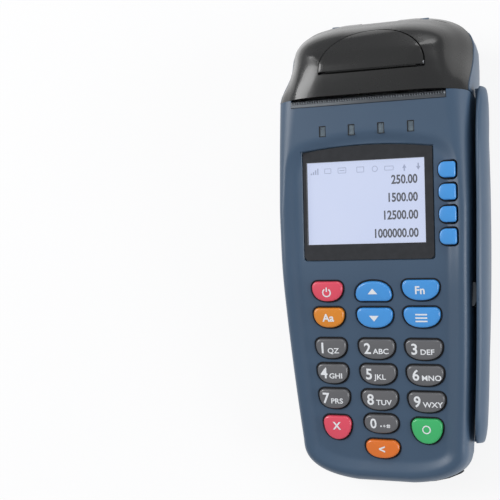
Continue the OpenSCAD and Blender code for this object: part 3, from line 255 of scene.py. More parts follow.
# %% The plastic recipe
def plastic(name, colour, rough, grain=0.25, grain_mm=0.35, drift=0.07, coat=0.0, patchy=0.08):
    look = Look(name)
    clouds = look.noise(28.0, 3.0)
    body = look.between(shade(colour, 1 - drift), shade(colour, 1 + drift), clouds)
    specks = look.noise(0.8, 1.0)
    body = look.between(body, shade(colour, 1.25), ((specks - 0.62) * 4.0).held() * 0.16)
    wear = look.noise(9.0, 4.0, 0.6)
    gloss = (rough + (wear - 0.5) * patchy).held()
    relief = look.bump(look.noise(grain_mm, 2.0), grain, 0.03)
    return look.finish(**{"Base Color": body, "Roughness": gloss, "Normal": relief,
                          "Coat Weight": coat, "Coat Roughness": 0.08, "IOR": 1.5})


shell_finish = plastic("slate_blue_shell", tone(64, 85, 107), 0.42)
smoke_finish = plastic("smoked_cover", tone(32, 32, 31), 0.27, 0.05, 0.5, 0.06, 0.25, 0.06)
black_finish = plastic("black_moulding", tone(34, 34, 36), 0.5)
white_finish = plastic("white_moulding", tone(226, 226, 220), 0.45)
rubber_finish = plastic("black_rubber", tone(40, 40, 42), 0.75, 0.5, 0.6)
# This near-black finish is painted shade for the key gaps, not the colour of a part.
gap_shade_finish = plastic("painted_gap_shade", tone(14, 15, 20), 0.8, 0.3, 0.4)
silicone_finish = plastic("keypad_silicone", tone(200, 200, 196), 0.6, 0.3)
sleeve_finish = plastic("battery_sleeve", tone(60, 72, 96), 0.3, 0.3, 1.2, 0.1)
key_finish = {
    "grey": plastic("grey_key", tone(98, 98, 100), 0.3, 0.2, 0.4, 0.05, 0.25),
    "blue": plastic("blue_key", tone(70, 150, 220), 0.3, 0.2, 0.4, 0.05, 0.25),
    "red": plastic("red_key", tone(224, 78, 98), 0.3, 0.2, 0.4, 0.05, 0.25),
    "orange": plastic("orange_key", tone(222, 136, 40), 0.3, 0.2, 0.4, 0.05, 0.25),
    "clear": plastic("clear_key", tone(226, 116, 40), 0.3, 0.2, 0.4, 0.05, 0.25),
    "green": plastic("green_key", tone(62, 180, 106), 0.3, 0.2, 0.4, 0.05, 0.25)}
print("plastics:", [m.name for m in bpy.data.materials if m.name != "studio_paper"])

# %% [markdown]
# ## Metal and boards
# Rolled or turned metal has fine streaks along one direction. A noise that is stretched along
# that direction gives them, both in the colour and in the polish. The circuit boards get
# their solder mask with copper tracks under it, drawn as thin bands of a Wave texture.

# %% Metals and circuit board
def metal(name, colour, rough, stretch=(40, 1, 1)):
    look = Look(name)
    streaks = look.noise(0.6, 2.0, stretch=stretch)
    stain = look.noise(12.0, 3.0)
    body = look.between(shade(colour, 0.82), shade(colour, 1.1), streaks * 0.6 + stain * 0.4)
    return look.finish(**{"Base Color": body, "Metallic": 1.0,
                          "Roughness": (rough + (streaks - 0.5) * 0.2).held(),
                          "Normal": look.bump(streaks, 0.15, 0.02)})


def board(name, mask):
    look = Look(name)
    lines = look.node("ShaderNodeTexWave", {"wave_type": "BANDS", "bands_direction": "DIAGONAL"},
                      {"Vector": look.place(), "Scale": 0.22, "Distortion": 6.0,
                       "Detail": 2.0, "Detail Scale": 0.6})[1]
    tracks = ((lines - 0.55) * 9.0).held()
    body = look.between(mask, shade(mask, 1.9), tracks)
    return look.finish(**{"Base Color": body, "Roughness": 0.35,
                          "Normal": look.bump(tracks, 0.3, 0.04)})


steel_finish = metal("brushed_steel", tone(190, 192, 196), 0.32)
dark_steel_finish = metal("dark_steel", tone(112, 116, 120), 0.45)
brass_finish = metal("spring_brass", tone(200, 168, 98), 0.3)
board_finish = board("green_board", tone(26, 92, 52))
print("metals and board are ready")

# %% [markdown]
# ## The window and the screen
# The clear window is printed black from behind, apart from a rectangle over the screen. One
# Principled shader shows both: the print is opaque and dark, and the clear part lets nearly
# all light through. The rectangle is measured in the display's own tilted frame.

# %% The display's frame and its finishes
front_y, rear_y = -91.0, 91.0
cover_y, key2_y, key2_z, key2_to_bend = 57.0, -39.5, 31.3, 29.5
bend_y = key2_y + key2_to_bend
keypad_tilt, display_tilt = math.radians(14), math.radians(6.25)
bend_z = key2_z + key2_to_bend * math.tan(keypad_tilt)
centre_x = -3.85
window_x, window_y0, window_w, window_h = -1.5, 4.3, 51.8, 42.4
lcd_x, lcd_y, lcd_w, lcd_h = window_x - 0.9, window_y0 + 22.3, 47.0, 32.0


def frame_of(x, y, z, tilt):
    return Matrix.Translation((x, y, z)) @ Matrix.Rotation(tilt, 4, "X")


on_display = frame_of(centre_x, bend_y, bend_z, display_tilt)
on_keypad = frame_of(centre_x, key2_y, key2_z, keypad_tilt)


def rectangle_mask(look, frame_at, tilt, x, y, w, h, edge):
    """1 inside a rectangle of a tilted face, 0 outside, with a soft edge in millimetres."""
    where = look.place(at=frame_at, turn=(tilt, 0, 0))
    parts = look.node("ShaderNodeSeparateXYZ", {}, {0: where})
    over = (abs(parts[0] - x) - w / 2).most(abs(parts[1] - y) - h / 2)
    return (0.5 - over / edge).held()


def printed_window():
    look = Look("printed_window")
    clear = rectangle_mask(look, (centre_x, bend_y, bend_z), display_tilt,
                           lcd_x, lcd_y, lcd_w, lcd_h, 0.15)
    dust = look.noise(2.5, 4.0)
    ink = look.between(tone(40, 41, 43), tone(54, 55, 58), dust)
    body = look.between(ink, (0.9, 0.93, 1.0), clear)
    return look.finish(**{"Base Color": body, "Alpha": 1.0 - clear * 0.94,
                          "Roughness": (0.12 + (dust - 0.5) * 0.1).held(), "IOR": 1.49})


def screen():
    look = Look("lit_screen")
    glow = look.noise(26.0, 1.0)
    grid = look.node("ShaderNodeTexChecker", {}, {"Vector": look.place(), "Scale": 2.2,
                     "Color1": (1, 1, 1), "Color2": (0.97, 0.97, 0.98)})[0]
    pale = look.between(tone(196, 208, 240), tone(208, 217, 243), glow)
    lit = look.between(pale, grid, 1.0, "MULTIPLY")
    return look.finish(**{"Base Color": (0.02, 0.02, 0.025), "Roughness": 0.5,
                          "Emission Color": lit, "Emission Strength": 0.93})


def lamp_lens():
    look = Look("lamp_lens")
    depth = look.noise(1.2, 2.0)
    body = look.between(tone(66, 80, 94), tone(116, 130, 136), depth)
    return look.finish(**{"Base Color": body, "Roughness": (0.25 + depth * 0.1).held(),
                          "Coat Weight": 0.4})


window_finish, screen_finish, lens_finish = printed_window(), screen(), lamp_lens()
print("window, screen and lamp lenses are ready")

# %% [markdown]
# ## Finishes for the solids
# Parts whose CAD shape is right keep their solid and get a finish in its material slot. Those
# that are dressed later are replaced by a finer piece.

# %% Give each carried-over solid its finish
finish_of = {}
for group, finish in ((("card_reader", "speaker", "paper_bay", "battery_contacts"), black_finish),
                      (("keypad_board", "main_board"), board_finish),
                      (("key_mat",), silicone_finish),
                      (("rubber_feet", "platen_roller"), rubber_finish),
                      (("platen_bushes", "platen_gear", "idler_gear"), white_finish),
                      (("battery_pack",), sleeve_finish), (("lcd_panel",), screen_finish),
                      (("display_window",), window_finish), (("status_lights",), lens_finish),
                      (("head_spring", "mag_head_spring", "motor_pinion"), brass_finish),
                      (("printer_cover", "release_lever"), smoke_finish),
                      (("tear_bar", "mag_head"), dark_steel_finish),
                      (("front_housing", "rear_housing", "swipe_rail", "battery_cover",
                        "port_cover"), shell_finish)):
    for node in group:
        finish_of[node] = finish
key_colour = {"power": "red", "cancel": "red", "enter": "green", "alpha": "orange",
              "clear": "clear", "up": "blue", "down": "blue", "func": "blue", "menu": "blue"}
for node in nodes:
    if node.startswith("key_") and node != "key_mat":
        finish_of[node] = key_finish[key_colour.get(node[4:], "grey")]
    if node.startswith("soft_key"):
        finish_of[node] = key_finish["blue"]
for node, obj in nodes.items():
    obj.data.materials.clear()
    finish_of.setdefault(node, steel_finish)
    obj.data.materials.append(finish_of[node])
print("solids with a finish:", len(nodes))

# %% [markdown]
# ## Rings and lofts
# The shells of the terminal follow one rule: a plan outline that is drawn in step by step
# while it rises, like the contour lines of a hill. The CAD model does this with a few rings.
# Here the same rule is sampled finely, so that highlights run over it without facets.

# %% The body's outline and heights
body_w, front_w, nose_l, tail_l = 76.2, 66.6, 15.0, 18.0
nose_y, tail_y, wide_y, wall = front_y + nose_l, rear_y - tail_l, 30.0, 2.2
rim_h, part_front_z, part_k = 1.9, 9.2, 0.15
flank_k = (body_w - front_w) / 2 / (wide_y - nose_y) ** 2


def half_width(y): return body_w / 2 - flank_k * (wide_y - y) ** 2


def lean(y): return math.atan(2 * flank_k * (wide_y - y))


def face_z(y, blend=8.0):
    """Two tilted planes that meet in a parabola, which reaches blend to both sides."""
    u, a, b = y - bend_y, math.tan(keypad_tilt), math.tan(display_tilt)
    return bend_z + (a * u if u < -blend else b * u if u > blend
                     else a * u + (b - a) * (u + blend) ** 2 / (4 * blend))


def rim_z(y): return face_z(y) + rim_h


def part_z(y): return part_front_z + part_k * (y - front_y)


def power(value, exponent): return math.copysign(abs(value) ** exponent, value)


def nose_side(d, steps=22):
    """Right half of the round front end, drawn in by d, from its flat tip to the flank."""
    return [((half_width(nose_y) - d) * power(math.sin(a), 2 / 2.6),
             nose_y - (nose_l - d) * power(math.cos(a) / math.cos(math.radians(14)), 2 / 2.6))
            for a in np.radians(np.linspace(14, 88, steps))]


def tail_start(d): return tail_y - max(0, d - tail_l + 2)


def tail_side(d, steps=22):
    """Right half of the rear end, drawn in by d, from the flank to its flat middle."""
    y0 = tail_start(d)
    return [((half_width(tail_y) - d) * power(math.cos(a), 2 / 3),
             y0 + (rear_y - d - y0) * power(math.sin(a) / math.sin(math.radians(76)), 2 / 3))
            for a in np.radians(np.linspace(2, 76, steps))]


def mirrored(side): return side + [(-x, y) for x, y in reversed(side)]


print("half width at the widest place:", half_width(wide_y), "mm")

# %% [markdown]
# A solid through such rings needs a skin between neighbours and a closed bottom and top. The
# caps run as strips across the body, from each point to its mirror image, because the height
# depends only on the distance along the body.

# %% Meshes from points, rings and boxes
def raw_mesh(name, points, faces):
    mesh = bpy.data.meshes.new(name)
    mesh.from_pydata([tuple(c * MM for c in p) for p in points], [], faces)
    mesh.validate()
    obj = bpy.data.objects.new(name, mesh)
    bpy.context.scene.collection.objects.link(obj)
    return obj


def outward(obj, merge_mm=0.0005):
    shape = bmesh.new()
    shape.from_mesh(obj.data)
    bmesh.ops.remove_doubles(shape, verts=shape.verts, dist=merge_mm * MM)
    bmesh.ops.recalc_face_normals(shape, faces=shape.faces)
    shape.to_mesh(obj.data)
    shape.free()
    return obj


def loft(name, rings, flat_caps=False):
    """Rings of (x, y, z), all with the same count; capped by strips or by one flat face."""
    n, k = len(rings[0]), len(rings)
    points = [p for ring in rings for p in ring]
    faces = [(j * n + i, j * n + (i + 1) % n, (j + 1) * n + (i + 1) % n, (j + 1) * n + i)
             for j in range(k - 1) for i in range(n)]
    for base in (0, (k - 1) * n):
        if flat_caps:
            faces.append(tuple(range(base, base + n)))
        else:
            faces += [(base + i, base + i + 1, base + n - 2 - i, base + n - 1 - i)
                      for i in range(n // 2 - 1)]
    return outward(raw_mesh(name, points, faces))


def prism(name, outline, z0, z1, place=None):
    """An upright prism, turned into place."""
    rings = [[(x, y, z0) for x, y in outline], [(x, y, z1) for x, y in outline]]
    obj = loft(name, rings, flat_caps=True)
    if place is not None:
        at = Matrix.Scale(MM, 4) @ place @ Matrix.Scale(1 / MM, 4)
        obj.data.transform(at)
    return obj


def block(name, x0, x1, y0, y1, z0, z1, place=None):
    return prism(name, [(x0, y0), (x1, y0), (x1, y1), (x0, y1)], z0, z1, place)


def rod(name, r, x0, x1, y, z, steps=48):
    ring = [(r * math.cos(a), r * math.sin(a)) for a in np.linspace(0, 2 * math.pi, steps, False)]
    return loft(name, [[(x, y + u, z + v) for u, v in ring] for x in (x0, x1)], flat_caps=True)


def cut(solid, tools, kind="DIFFERENCE"):
    """Booleans with each tool in turn, which uses it up. An empty or unchanged result means
    that the quick solver gave up, and the exact one takes over."""
    for tool in tools:
        change = solid.modifiers.new("cut", "BOOLEAN")
        change.operation, change.solver, change.object = kind, "MANIFOLD", tool
        graph = bpy.context.evaluated_depsgraph_get()
        done = bpy.data.meshes.new_from_object(solid.evaluated_get(graph))
        if len(done.polygons) in (0, len(solid.data.polygons)):
            change.solver = "EXACT"
            graph = bpy.context.evaluated_depsgraph_get()
            done = bpy.data.meshes.new_from_object(solid.evaluated_get(graph))
            print("exact solver used for", tool.name)
        solid.modifiers.clear()
        solid.data = done
        bpy.data.objects.remove(tool)
    return solid


def soften(obj, width_mm, angle=28, sharp=35):
    """Rounds the edges that are sharper than the angle and bakes the result."""
    if width_mm:
        bevel = obj.modifiers.new("edge", "BEVEL")
        bevel.width, bevel.segments, bevel.limit_method = width_mm * MM, 2, "ANGLE"
        bevel.angle_limit, bevel.use_clamp_overlap = math.radians(angle), True
        bevel.miter_outer = "MITER_ARC"
        graph = bpy.context.evaluated_depsgraph_get()
        obj.data = bpy.data.meshes.new_from_object(obj.evaluated_get(graph))
        obj.modifiers.clear()
    obj.data.shade_smooth()
    obj.data.set_sharp_from_angle(angle=math.radians(sharp))
    return obj


def dressed(obj, finish, body, *replaced):
    obj.data.materials.clear()
    obj.data.materials.append(finish)
    obj.data.polygons.foreach_set("material_index", [0] * len(obj.data.polygons))
    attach(obj, body)
    if replaced:
        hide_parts(*replaced)
    print(obj.name, len(obj.data.polygons), "faces")
    return obj


def copied(node, width_mm):
    """A merged copy of a CAD solid, its flat faces joined and its edges softened."""
    mesh = nodes[node].data.copy()
    obj = bpy.data.objects.new(node + "_dressed", mesh)
    bpy.context.scene.collection.objects.link(obj)
    shape = bmesh.new()
    shape.from_mesh(mesh)
    bmesh.ops.remove_doubles(shape, verts=shape.verts, dist=2e-6)
    bmesh.ops.dissolve_limit(shape, angle_limit=math.radians(0.6), verts=shape.verts,
                             edges=shape.edges)
    shape.to_mesh(mesh)
    shape.free()
    return dressed(soften(obj, width_mm), finish_of[node], body_of[node], node)


print("tools for rings, cuts and soft edges are ready")

# %% [markdown]
# ## The upper shell
# The upper shell is one soft form: upright flanks, an elliptical shoulder that widens towards
# the printer, and a dished face. The face is a grid of points whose depth follows how far
# each one lies between the foot and the top of the dish's slope. Openings are then cut with
# slightly flared tools, which leaves the small bright edge that a moulded opening has.

# %% The dish in the face
def front_side(d, y1, steps=92):
    return nose_side(d) + [(half_width(y) - d, y) for y in np.linspace(nose_y, y1, steps)]


# The slope's foot and top lie this far inside the body's outline; its rear end is bowed
foot_in, top_in, top_back = 8.6, 3.3, 3.4
dish_rear, dish_r, dish_bow = bend_y + 39, 11, 2.6


def dish_outline(d, e):
    """The body's outline drawn in by d, with a rear end that lies e further back."""
    side = nose_side(d) + [(half_width(y + 1.7) - d, y + 1.7)
                           for y in np.linspace(nose_y, bend_y + 19, 30)]
    y0 = dish_rear + e
    side += [(half_width(y0) - d - dish_r * (1 - math.cos(a)), y0 - 3 + dish_r * math.sin(a))
             for a in np.linspace(0, math.pi / 2, 10)]
    x1, y1 = side[-1]
    side += [(x1 * s, y1 + dish_bow * (1 - s * s)) for s in np.linspace(0.9, 0.02, 10)]
    return np.array(mirrored(side))


def away(points, outline):
    """Distance of each point to a closed outline, and whether it lies inside."""
    a, b = outline, np.roll(outline, -1, axis=0)
    ab = b - a
    rel = points[:, None, :] - a[None]
    t = np.clip((rel * ab).sum(2) / np.maximum((ab * ab).sum(1), 1e-12), 0, 1)
    gap = np.linalg.norm(rel - t[..., None] * ab, axis=2).min(1)
    py, ay, by = points[:, None, 1], a[None, :, 1], b[None, :, 1]
    crosses = (ay > py) != (by > py)
    at = a[None, :, 0] + (py - ay) / np.where(by == ay, 1, by - ay) * ab[None, :, 0]
    inside = (crosses & (points[:, None, 0] < at)).sum(1) % 2 == 1
    return gap, inside


def dish_depth(points):
    """How far the face lies below the rim's height: rim_h in the dish, 0 outside it."""
    foot, in_foot = away(points, dish_outline(foot_in, 0))
    top, in_top = away(points, dish_outline(top_in, top_back))
    t = np.clip(foot / np.maximum(foot + top, 1e-9), 0, 1)
    t = np.where(in_foot, 0, np.where(in_top, t, 1))
    return rim_h * (1 - t * t * (3 - 2 * t))


print("dish depth at the middle key:", dish_depth(np.array([[0.0, key2_y]])))


# %% The skin of the upper shell
shoulder_w, shoulder_h, widens_y = 2.9, 5.0, bend_y + 24


def widening(y): return min(1, max(0, (y - widens_y) / (cover_y - widens_y)))


def shoulder(angle):
    """One contour of the shell: angle 0 is the foot of the shoulder, 90 degrees its top."""
    ring = []
    for x, y in front_side(0, cover_y - 0.3):
        w = widening(y)
        d = shoulder_w * (1 - math.cos(angle)) * (1 + 2.1 * w)
        q = (nose_l - d) / nose_l if y < nose_y else 1
        drop = -shoulder_h * (1 - math.sin(angle)) * (1 + 0.45 * w)
        at = nose_y + (y - nose_y) * q
        ring.append((x * (1 - d / half_width(max(y, nose_y))), at, rim_z(at) + drop))
    depth = dish_depth(np.array(ring)[:, :2])
    return [(x, y, min(z, rim_z(y) - depth[i])) for i, (x, y, z) in enumerate(ring)]


def both(ring): return ring + [(-x, y, z) for x, y, z in reversed(ring)]


def upper_skin(columns=100):
    """The bottom, the flanks, the shoulder's contours and the face's grid as one mesh."""
    low = [(x, y, part_z(y)) for x, y in front_side(0, cover_y - 0.3)]
    rings = [both(low)] + [both(shoulder(a)) for a in np.radians(np.linspace(0, 90, 13))]
    n, k = len(rings[0]), len(rings)
    points = [p for ring in rings for p in ring]
    ends = (n // 2 - 1, n - 1)
    faces = [(j * n + i, j * n + (i + 1) % n, (j + 1) * n + (i + 1) % n, (j + 1) * n + i)
             for j in range(k - 1) for i in range(n) if j < k - 2 or i not in ends]
    faces += [(i, i + 1, n - 2 - i, n - 1 - i) for i in range(n // 2 - 1)]
    last, start = rings[-1], len(points)
    rows = [[(x * (1 - 2 * c / columns), y, rim_z(y)) for c in range(columns + 1)]
            for x, y, z in last[:n // 2]]
    grid = np.array([p for row in rows for p in row])
    grid[:, 2] -= dish_depth(grid[:, :2])
    points += [tuple(p) for p in grid]
    m = columns + 1
    faces += [(start + r * m + c, start + r * m + c + 1, start + (r + 1) * m + c + 1,
               start + (r + 1) * m + c) for r in range(len(rows) - 1) for c in range(columns)]
    # The rear end and the front tip close onto the grid's last and first rows
    base, final = (k - 2) * n, start + (len(rows) - 1) * m
    faces.append((base + ends[0], base + ends[0] + 1)
                 + tuple(final + c for c in range(columns, -1, -1)))
    faces.append((base + ends[1], base) + tuple(start + c for c in range(m)))
    return outward(raw_mesh("upper_shell", points, faces))


def inner_space():
    """The room under the face, with a chamfer along its upper edge."""
    sides, roof = front_side(wall, cover_y + 3), front_side(wall + 0.4, cover_y + 3)
    return loft("inner_space", [both([(x, y, part_z(y) - 1) for x, y in sides]),
                                both([(x, y, face_z(y) - 3.6) for x, y in sides]),
                                both([(x, y, face_z(y) - 2) for x, y in roof])])


upper_shell = upper_skin()
print("skin:", len(upper_shell.data.polygons), "faces")

# %% [markdown]
# ## Outlines of the keys
# Each key has a straight rear edge with round corners and a bulging front edge. The same
# outline, a little wider, makes the key's opening, so the gap around it is even.

# %% Key outlines and places
key_px, key_py, key_gap, key_rise = 18.5, 10.1, 0.6, 1.6
w_left, w_mid, key_h = 12.4, 14.2, 7.7
row_0 = -3 * key_py + 0.6
soft_w, soft_h, soft_x, soft_y0, soft_py, soft_rise = 6.4, 5.9, 30.0, 12.5, 8.3, 2.6
# Each row: place, width, height, corner radius and fullness of the front edge
key_rows = {
    "power": (-key_px, 22.7, w_left, key_h, 2.2, 2.3), "up": (0, 22.7, w_mid, key_h, 2.2, 2.3),
    "func": (key_px, 23, w_mid, key_h, 2.2, 2.3), "alpha": (-key_px, 12.3, w_left, key_h, 2.2, 2.3),
    "down": (0, 12.3, w_mid, key_h, 2.2, 2.3), "menu": (key_px, 12.5, w_mid, key_h, 2.2, 2.3),
    "0": (0, row_0, w_mid - 0.8, key_h - 0.5, 3, 2.4),
    "cancel": (0.6 - key_px, row_0 - 2.2, w_left - 1.1, key_h + 1.8, 2.6, 2.1),
    "enter": (key_px - 0.4, row_0 - 2.2, w_mid - 2.2, key_h + 2.1, 2.6, 2.1),
    "clear": (0, row_0 - 10.1, w_mid - 0.8, key_h - 0.5, 2.6, 2.2)}
for i in range(9):
    key_rows[str(i + 1)] = ((i % 3 - 1) * key_px, -(i // 3) * key_py - (0.3 if i == 8 else 0),
                            w_left if i % 3 == 0 else w_mid, key_h, 2.2, 2.4)


def arc(x, y, r, a0, a1, steps):
    return [(x + r * math.cos(a), y + r * math.sin(a))
            for a in np.radians(np.linspace(a0, a1, steps))]


def key_outline(w, h, r, q, grow=0.0):
    w, h, r = w + 2 * grow, h + 2 * grow, max(0.05, r + grow)
    low = [(power(math.cos(a), 2 / q) * w / 2, h / 2 - r - (h - r) * abs(math.sin(a)) ** (2 / q))
           for a in np.radians(np.linspace(184, 356, 36))]
    return arc(w / 2 - r, h / 2 - r, r, 0, 90, 9) + arc(-w / 2 + r, h / 2 - r, r, 90, 180, 9) + low


def soft_outline(grow=0.0):
    w, h, r1, r2 = soft_w / 2 + grow, soft_h / 2 + grow, max(0.05, 2.4 + grow), max(0.05, 1 + grow)
    return (arc(w - r2, h - r2, r2, 0, 90, 7) + arc(-w + r1, h - r1, r1, 90, 180, 9)
            + arc(-w + r1, -h + r1, r1, 180, 270, 9) + arc(w - r2, -h + r2, r2, 270, 360, 7))


def key_place(name):
    x, y = key_rows[name][:2]
    turn = math.pi if name == "up" else 0.0
    return on_keypad @ Matrix.Translation((x, y, 0)) @ Matrix.Rotation(turn, 4, "Z")


def soft_place(i): return on_display @ Matrix.Translation((soft_x, soft_y0 + (4 - i) * soft_py, 0))


def placed(obj, place):
    obj.data.transform(Matrix.Scale(MM, 4) @ place @ Matrix.Scale(1 / MM, 4))
    return obj


def opening_tool(outline_at, place, flare=0.28):
    """The tool for a key's opening: straight below, flared at the face."""
    rings = [(0.0, -5.0), (0.0, -flare), (flare, 0.02), (flare, 6.0)]
    return placed(loft("tool", [[(x, y, z) for x, y in outline_at(g)] for g, z in rings],
                       flat_caps=True), place)


print("keys:", len(key_rows), "and 4 soft keys")

# %% [markdown]
# ## Openings of the upper shell
# The keys, the window, the screen, the four status lights, the reading head in the swipe slot
# and the sockets behind their flap each need an opening. At the printer end the shell stays
# open for the print head, and a step carries the tear bar.

# %% Cut the openings
def head_place(y): return (Matrix.Translation((centre_x + half_width(y), y, 0))
                           @ Matrix.Rotation(-lean(y), 4, "Z"))


def port_place(y): return (Matrix.Translation((centre_x - half_width(y), y, 0))
                           @ Matrix.Rotation(lean(y), 4, "Z"))


def window_outline(g, r=1.2, bow=1.9):
    """The window grown by g, with round front corners and a bowed rear edge."""
    w, y0, y1 = window_w / 2 + g, window_y0 - g, window_y0 + window_h + g
    side = [(-w, y1), (-w, y0 + r)] + arc(-w + r, y0 + r, r, 180, 270, 6)[1:]
    side += arc(w - r, y0 + r, r, 270, 360, 6) + [(w, y1)]
    side += [(w * t, y1 + bow * (1 - t * t)) for t in np.linspace(0.95, -0.95, 24)]
    return [(x + window_x, y) for x, y in side]


light_x, light_y, light_hw, light_hh = (-18.3, -6.6, 5.1, 16.7), 54.4, 1.15, 1.95
lcd_gap, head_l, head_h = 0.7, 9.6, 7.6
rail_y0, rail_l, slot_w = front_y + 16.5, 134.5, 2.4
head_y = rail_y0 + 56
slot_floor0 = rim_z(rail_y0) - 12.5 - 0.6


def slot_floor(y): return slot_floor0 + part_k * (y - rail_y0)


upper_shell.data.transform(Matrix.Translation((centre_x * MM, 0, 0)))
space = inner_space()
space.data.transform(Matrix.Translation((centre_x * MM, 0, 0)))
tools = [space]
for name, (x, y, w, h, r, q) in key_rows.items():
    tools.append(opening_tool(lambda g, k=(w, h, r, q): key_outline(*k, grow=key_gap + g),
                              key_place(name)))
for i in (1, 2, 3, 4):
    tools.append(opening_tool(lambda g: soft_outline(key_gap + g), soft_place(i), 0.2))
tools.append(placed(loft("tool", [[(x, y, z) for x, y in window_outline(g)]
             for g, z in ((0.15, -1.2), (0.15, -0.3), (0.45, 0.02), (0.45, 6))], True), on_display))
lcd_hw, lcd_hh = lcd_w / 2 + lcd_gap, lcd_h / 2 + lcd_gap
tools.append(block("tool", lcd_x - lcd_hw, lcd_x + lcd_hw, lcd_y - lcd_hh, lcd_y + lcd_hh, -3, 0,
                   on_display))
for x in light_x:
    tools.append(placed(loft("tool", [[(x + sx * (light_hw + g), light_y + sy * (light_hh + g), z)
                 for sx, sy in ((-1, -1), (1, -1), (1, 1), (-1, 1))]
                 for g, z in ((0, -3), (0, rim_h - 0.25), (0.25, rim_h + 0.02), (0.25, 6))], True),
                 on_display))
head_z = slot_floor(head_y) + 8.6
tools.append(block("tool", -wall - 1, 1, -head_l / 2, head_l / 2, head_z - head_h / 2,
                   head_z + head_h / 2, head_place(head_y)))
# The flap's pocket, and a mouth for each of the two sockets
port_y, port_z0, port_z1, port_hl, port_step = bend_y + 31, 31.6, 39.6, 10.0, 1.2
tools.append(block("tool", -1, 1.6, -port_hl, port_hl, port_z0 - 0.25, port_z1,
                   port_place(port_y)))
for y0, y1 in ((-8.8, 0.2), (1, 8.6)):
    tools.append(block("tool", 0, 6, y0, y1, port_z0 + port_step, port_z1 - port_step,
                       port_place(port_y)))
# The seat of the tear bar, and the open end over the print head
tear_y, tear_x, tear_hw, seat_gap = cover_y - 2, centre_x - 0.4, 30.6, 0.15
for y0, z0 in ((tear_y - 1.45, rim_z(tear_y) - 1.05), (tear_y - 0.15, 20)):
    tools.append(block("tool", tear_x - tear_hw - seat_gap, tear_x + tear_hw + seat_gap, y0,
                       cover_y + 1, z0, 60))
pocket_back = block("port_back", 0.4, 2.9, -port_hl - 1.5, port_hl + 1.5, port_z0 - 1.5,
                    port_z1 + 0.6, port_place(port_y))
cut(upper_shell, tools[:1])
cut(upper_shell, [pocket_back], "UNION")
cut(upper_shell, tools[1:])
soften(upper_shell, 0, sharp=32)
dressed(upper_shell, shell_finish, "base", "front_housing")

# %% [markdown]
# ## Domed key caps
# A key cap is a shallow dome on a straight skirt, and the edge between them is rounded. It is
# built from rings of the key's own outline: up the skirt, around the edge and then in towards
# the middle over the dome. Below the face each cap has its flange and the plunger that
# presses the silicone dome.

# %% Key caps
key_dome_r, soft_dome_r, key_edge, soft_edge = 34.0, 16.0, 0.75, 0.5
flange_w, flange_low, flange_top = 0.8, -3.3, -2.3


def cap(name, outline_at, rise, dome_r, edge, plunger_r, plunger_z, place):
    """Rings of one outline from the flange up the skirt, over the edge and in over the dome."""
    def dome(x, y): return rise - dome_r + math.sqrt(dome_r ** 2 - x * x - y * y)

    rings = [[(x, y, z) for x, y in outline_at(g)]
             for g, z in ((flange_w, flange_low), (flange_w, flange_top), (0, flange_top))]
    for a in np.radians(np.linspace(0, 80, 6)):
        inset = edge * (1 - math.cos(a))
        rings.append([(x, y, dome(x, y) - edge * (1 - math.sin(a)))
                      for x, y in outline_at(-inset)])
    inner = outline_at(-edge)
    rings += [[(x * s, y * s, dome(x * s, y * s)) for x, y in inner]
              for s in (1.0, 0.86, 0.7, 0.5, 0.3, 0.12)]
    top = loft(name, rings, flat_caps=True)
    stem = loft("stem", [[(x, y, z) for x, y in arc(0, 0, plunger_r, 0, 345, 24)]
                         for z in (plunger_z, flange_low)], True)
    placed(top, place), placed(stem, place)
    shape = bmesh.new()
    for part in (top, stem):
        shape.from_mesh(part.data)
    shape.to_mesh(top.data)
    shape.free()
    bpy.data.objects.remove(stem)
    return soften(top, 0, sharp=50)


for name, (x, y, w, h, r, q) in key_rows.items():
    made = cap("cap_" + name, lambda g, k=(w, h, r, q): key_outline(*k, grow=g), key_rise,
               key_dome_r, key_edge, 1.6, -5.3, key_place(name))
    dressed(made, finish_of["key_" + name], "key_" + name, "key_" + name)
for i in (1, 2, 3, 4):
    made = cap("soft_cap_%d" % i, soft_outline, soft_rise, soft_dome_r, soft_edge, 1.2, -6.1,
               soft_place(i))
    dressed(made, key_finish["blue"], "soft_key_%d" % i, "soft_key_%d" % i)

# %% [markdown]
# ## Printed legends
# The legends are pad-printed, so they follow the dome. Text and small outlines are made flat,
# given a thickness of a few hundredths of a millimetre, and every point is then lifted onto
# the dome of its key. Only digits, the usual telephone letters and plain signs are used.

# %% Tools for prints
def ink(name, colour, rough=0.45):
    look = Look(name)
    worn = look.noise(0.6, 3.0)
    body = look.between(shade(colour, 0.86), colour, worn)
    return look.finish(**{"Base Color": body, "Roughness": (rough + (worn - 0.5) * 0.2).held()})


white_ink = ink("white_print", tone(236, 238, 240))
dark_ink = ink("screen_dark", tone(30, 33, 44))
faint_ink = ink("screen_faint", tone(158, 168, 196))
PRINT = 0.03


def words(text, size, x, y, bold=0.0, align="LEFT", wide=1.0):
    curve = bpy.data.curves.new("words", "FONT")
    curve.body, curve.size, curve.align_x, curve.align_y = text, 1.0, align, "CENTER"
    curve.offset, curve.resolution_u, curve.extrude = bold / size, 3, PRINT / size
    obj = bpy.data.objects.new("words", curve)
    bpy.context.scene.collection.objects.link(obj)
    graph = bpy.context.evaluated_depsgraph_get()
    mesh = bpy.data.meshes.new_from_object(obj.evaluated_get(graph))
    bpy.data.objects.remove(obj)
    mesh.transform(Matrix.Translation((x, y, 0)) @ Matrix.Diagonal((size * wide, size, size, 1)))
    return mesh


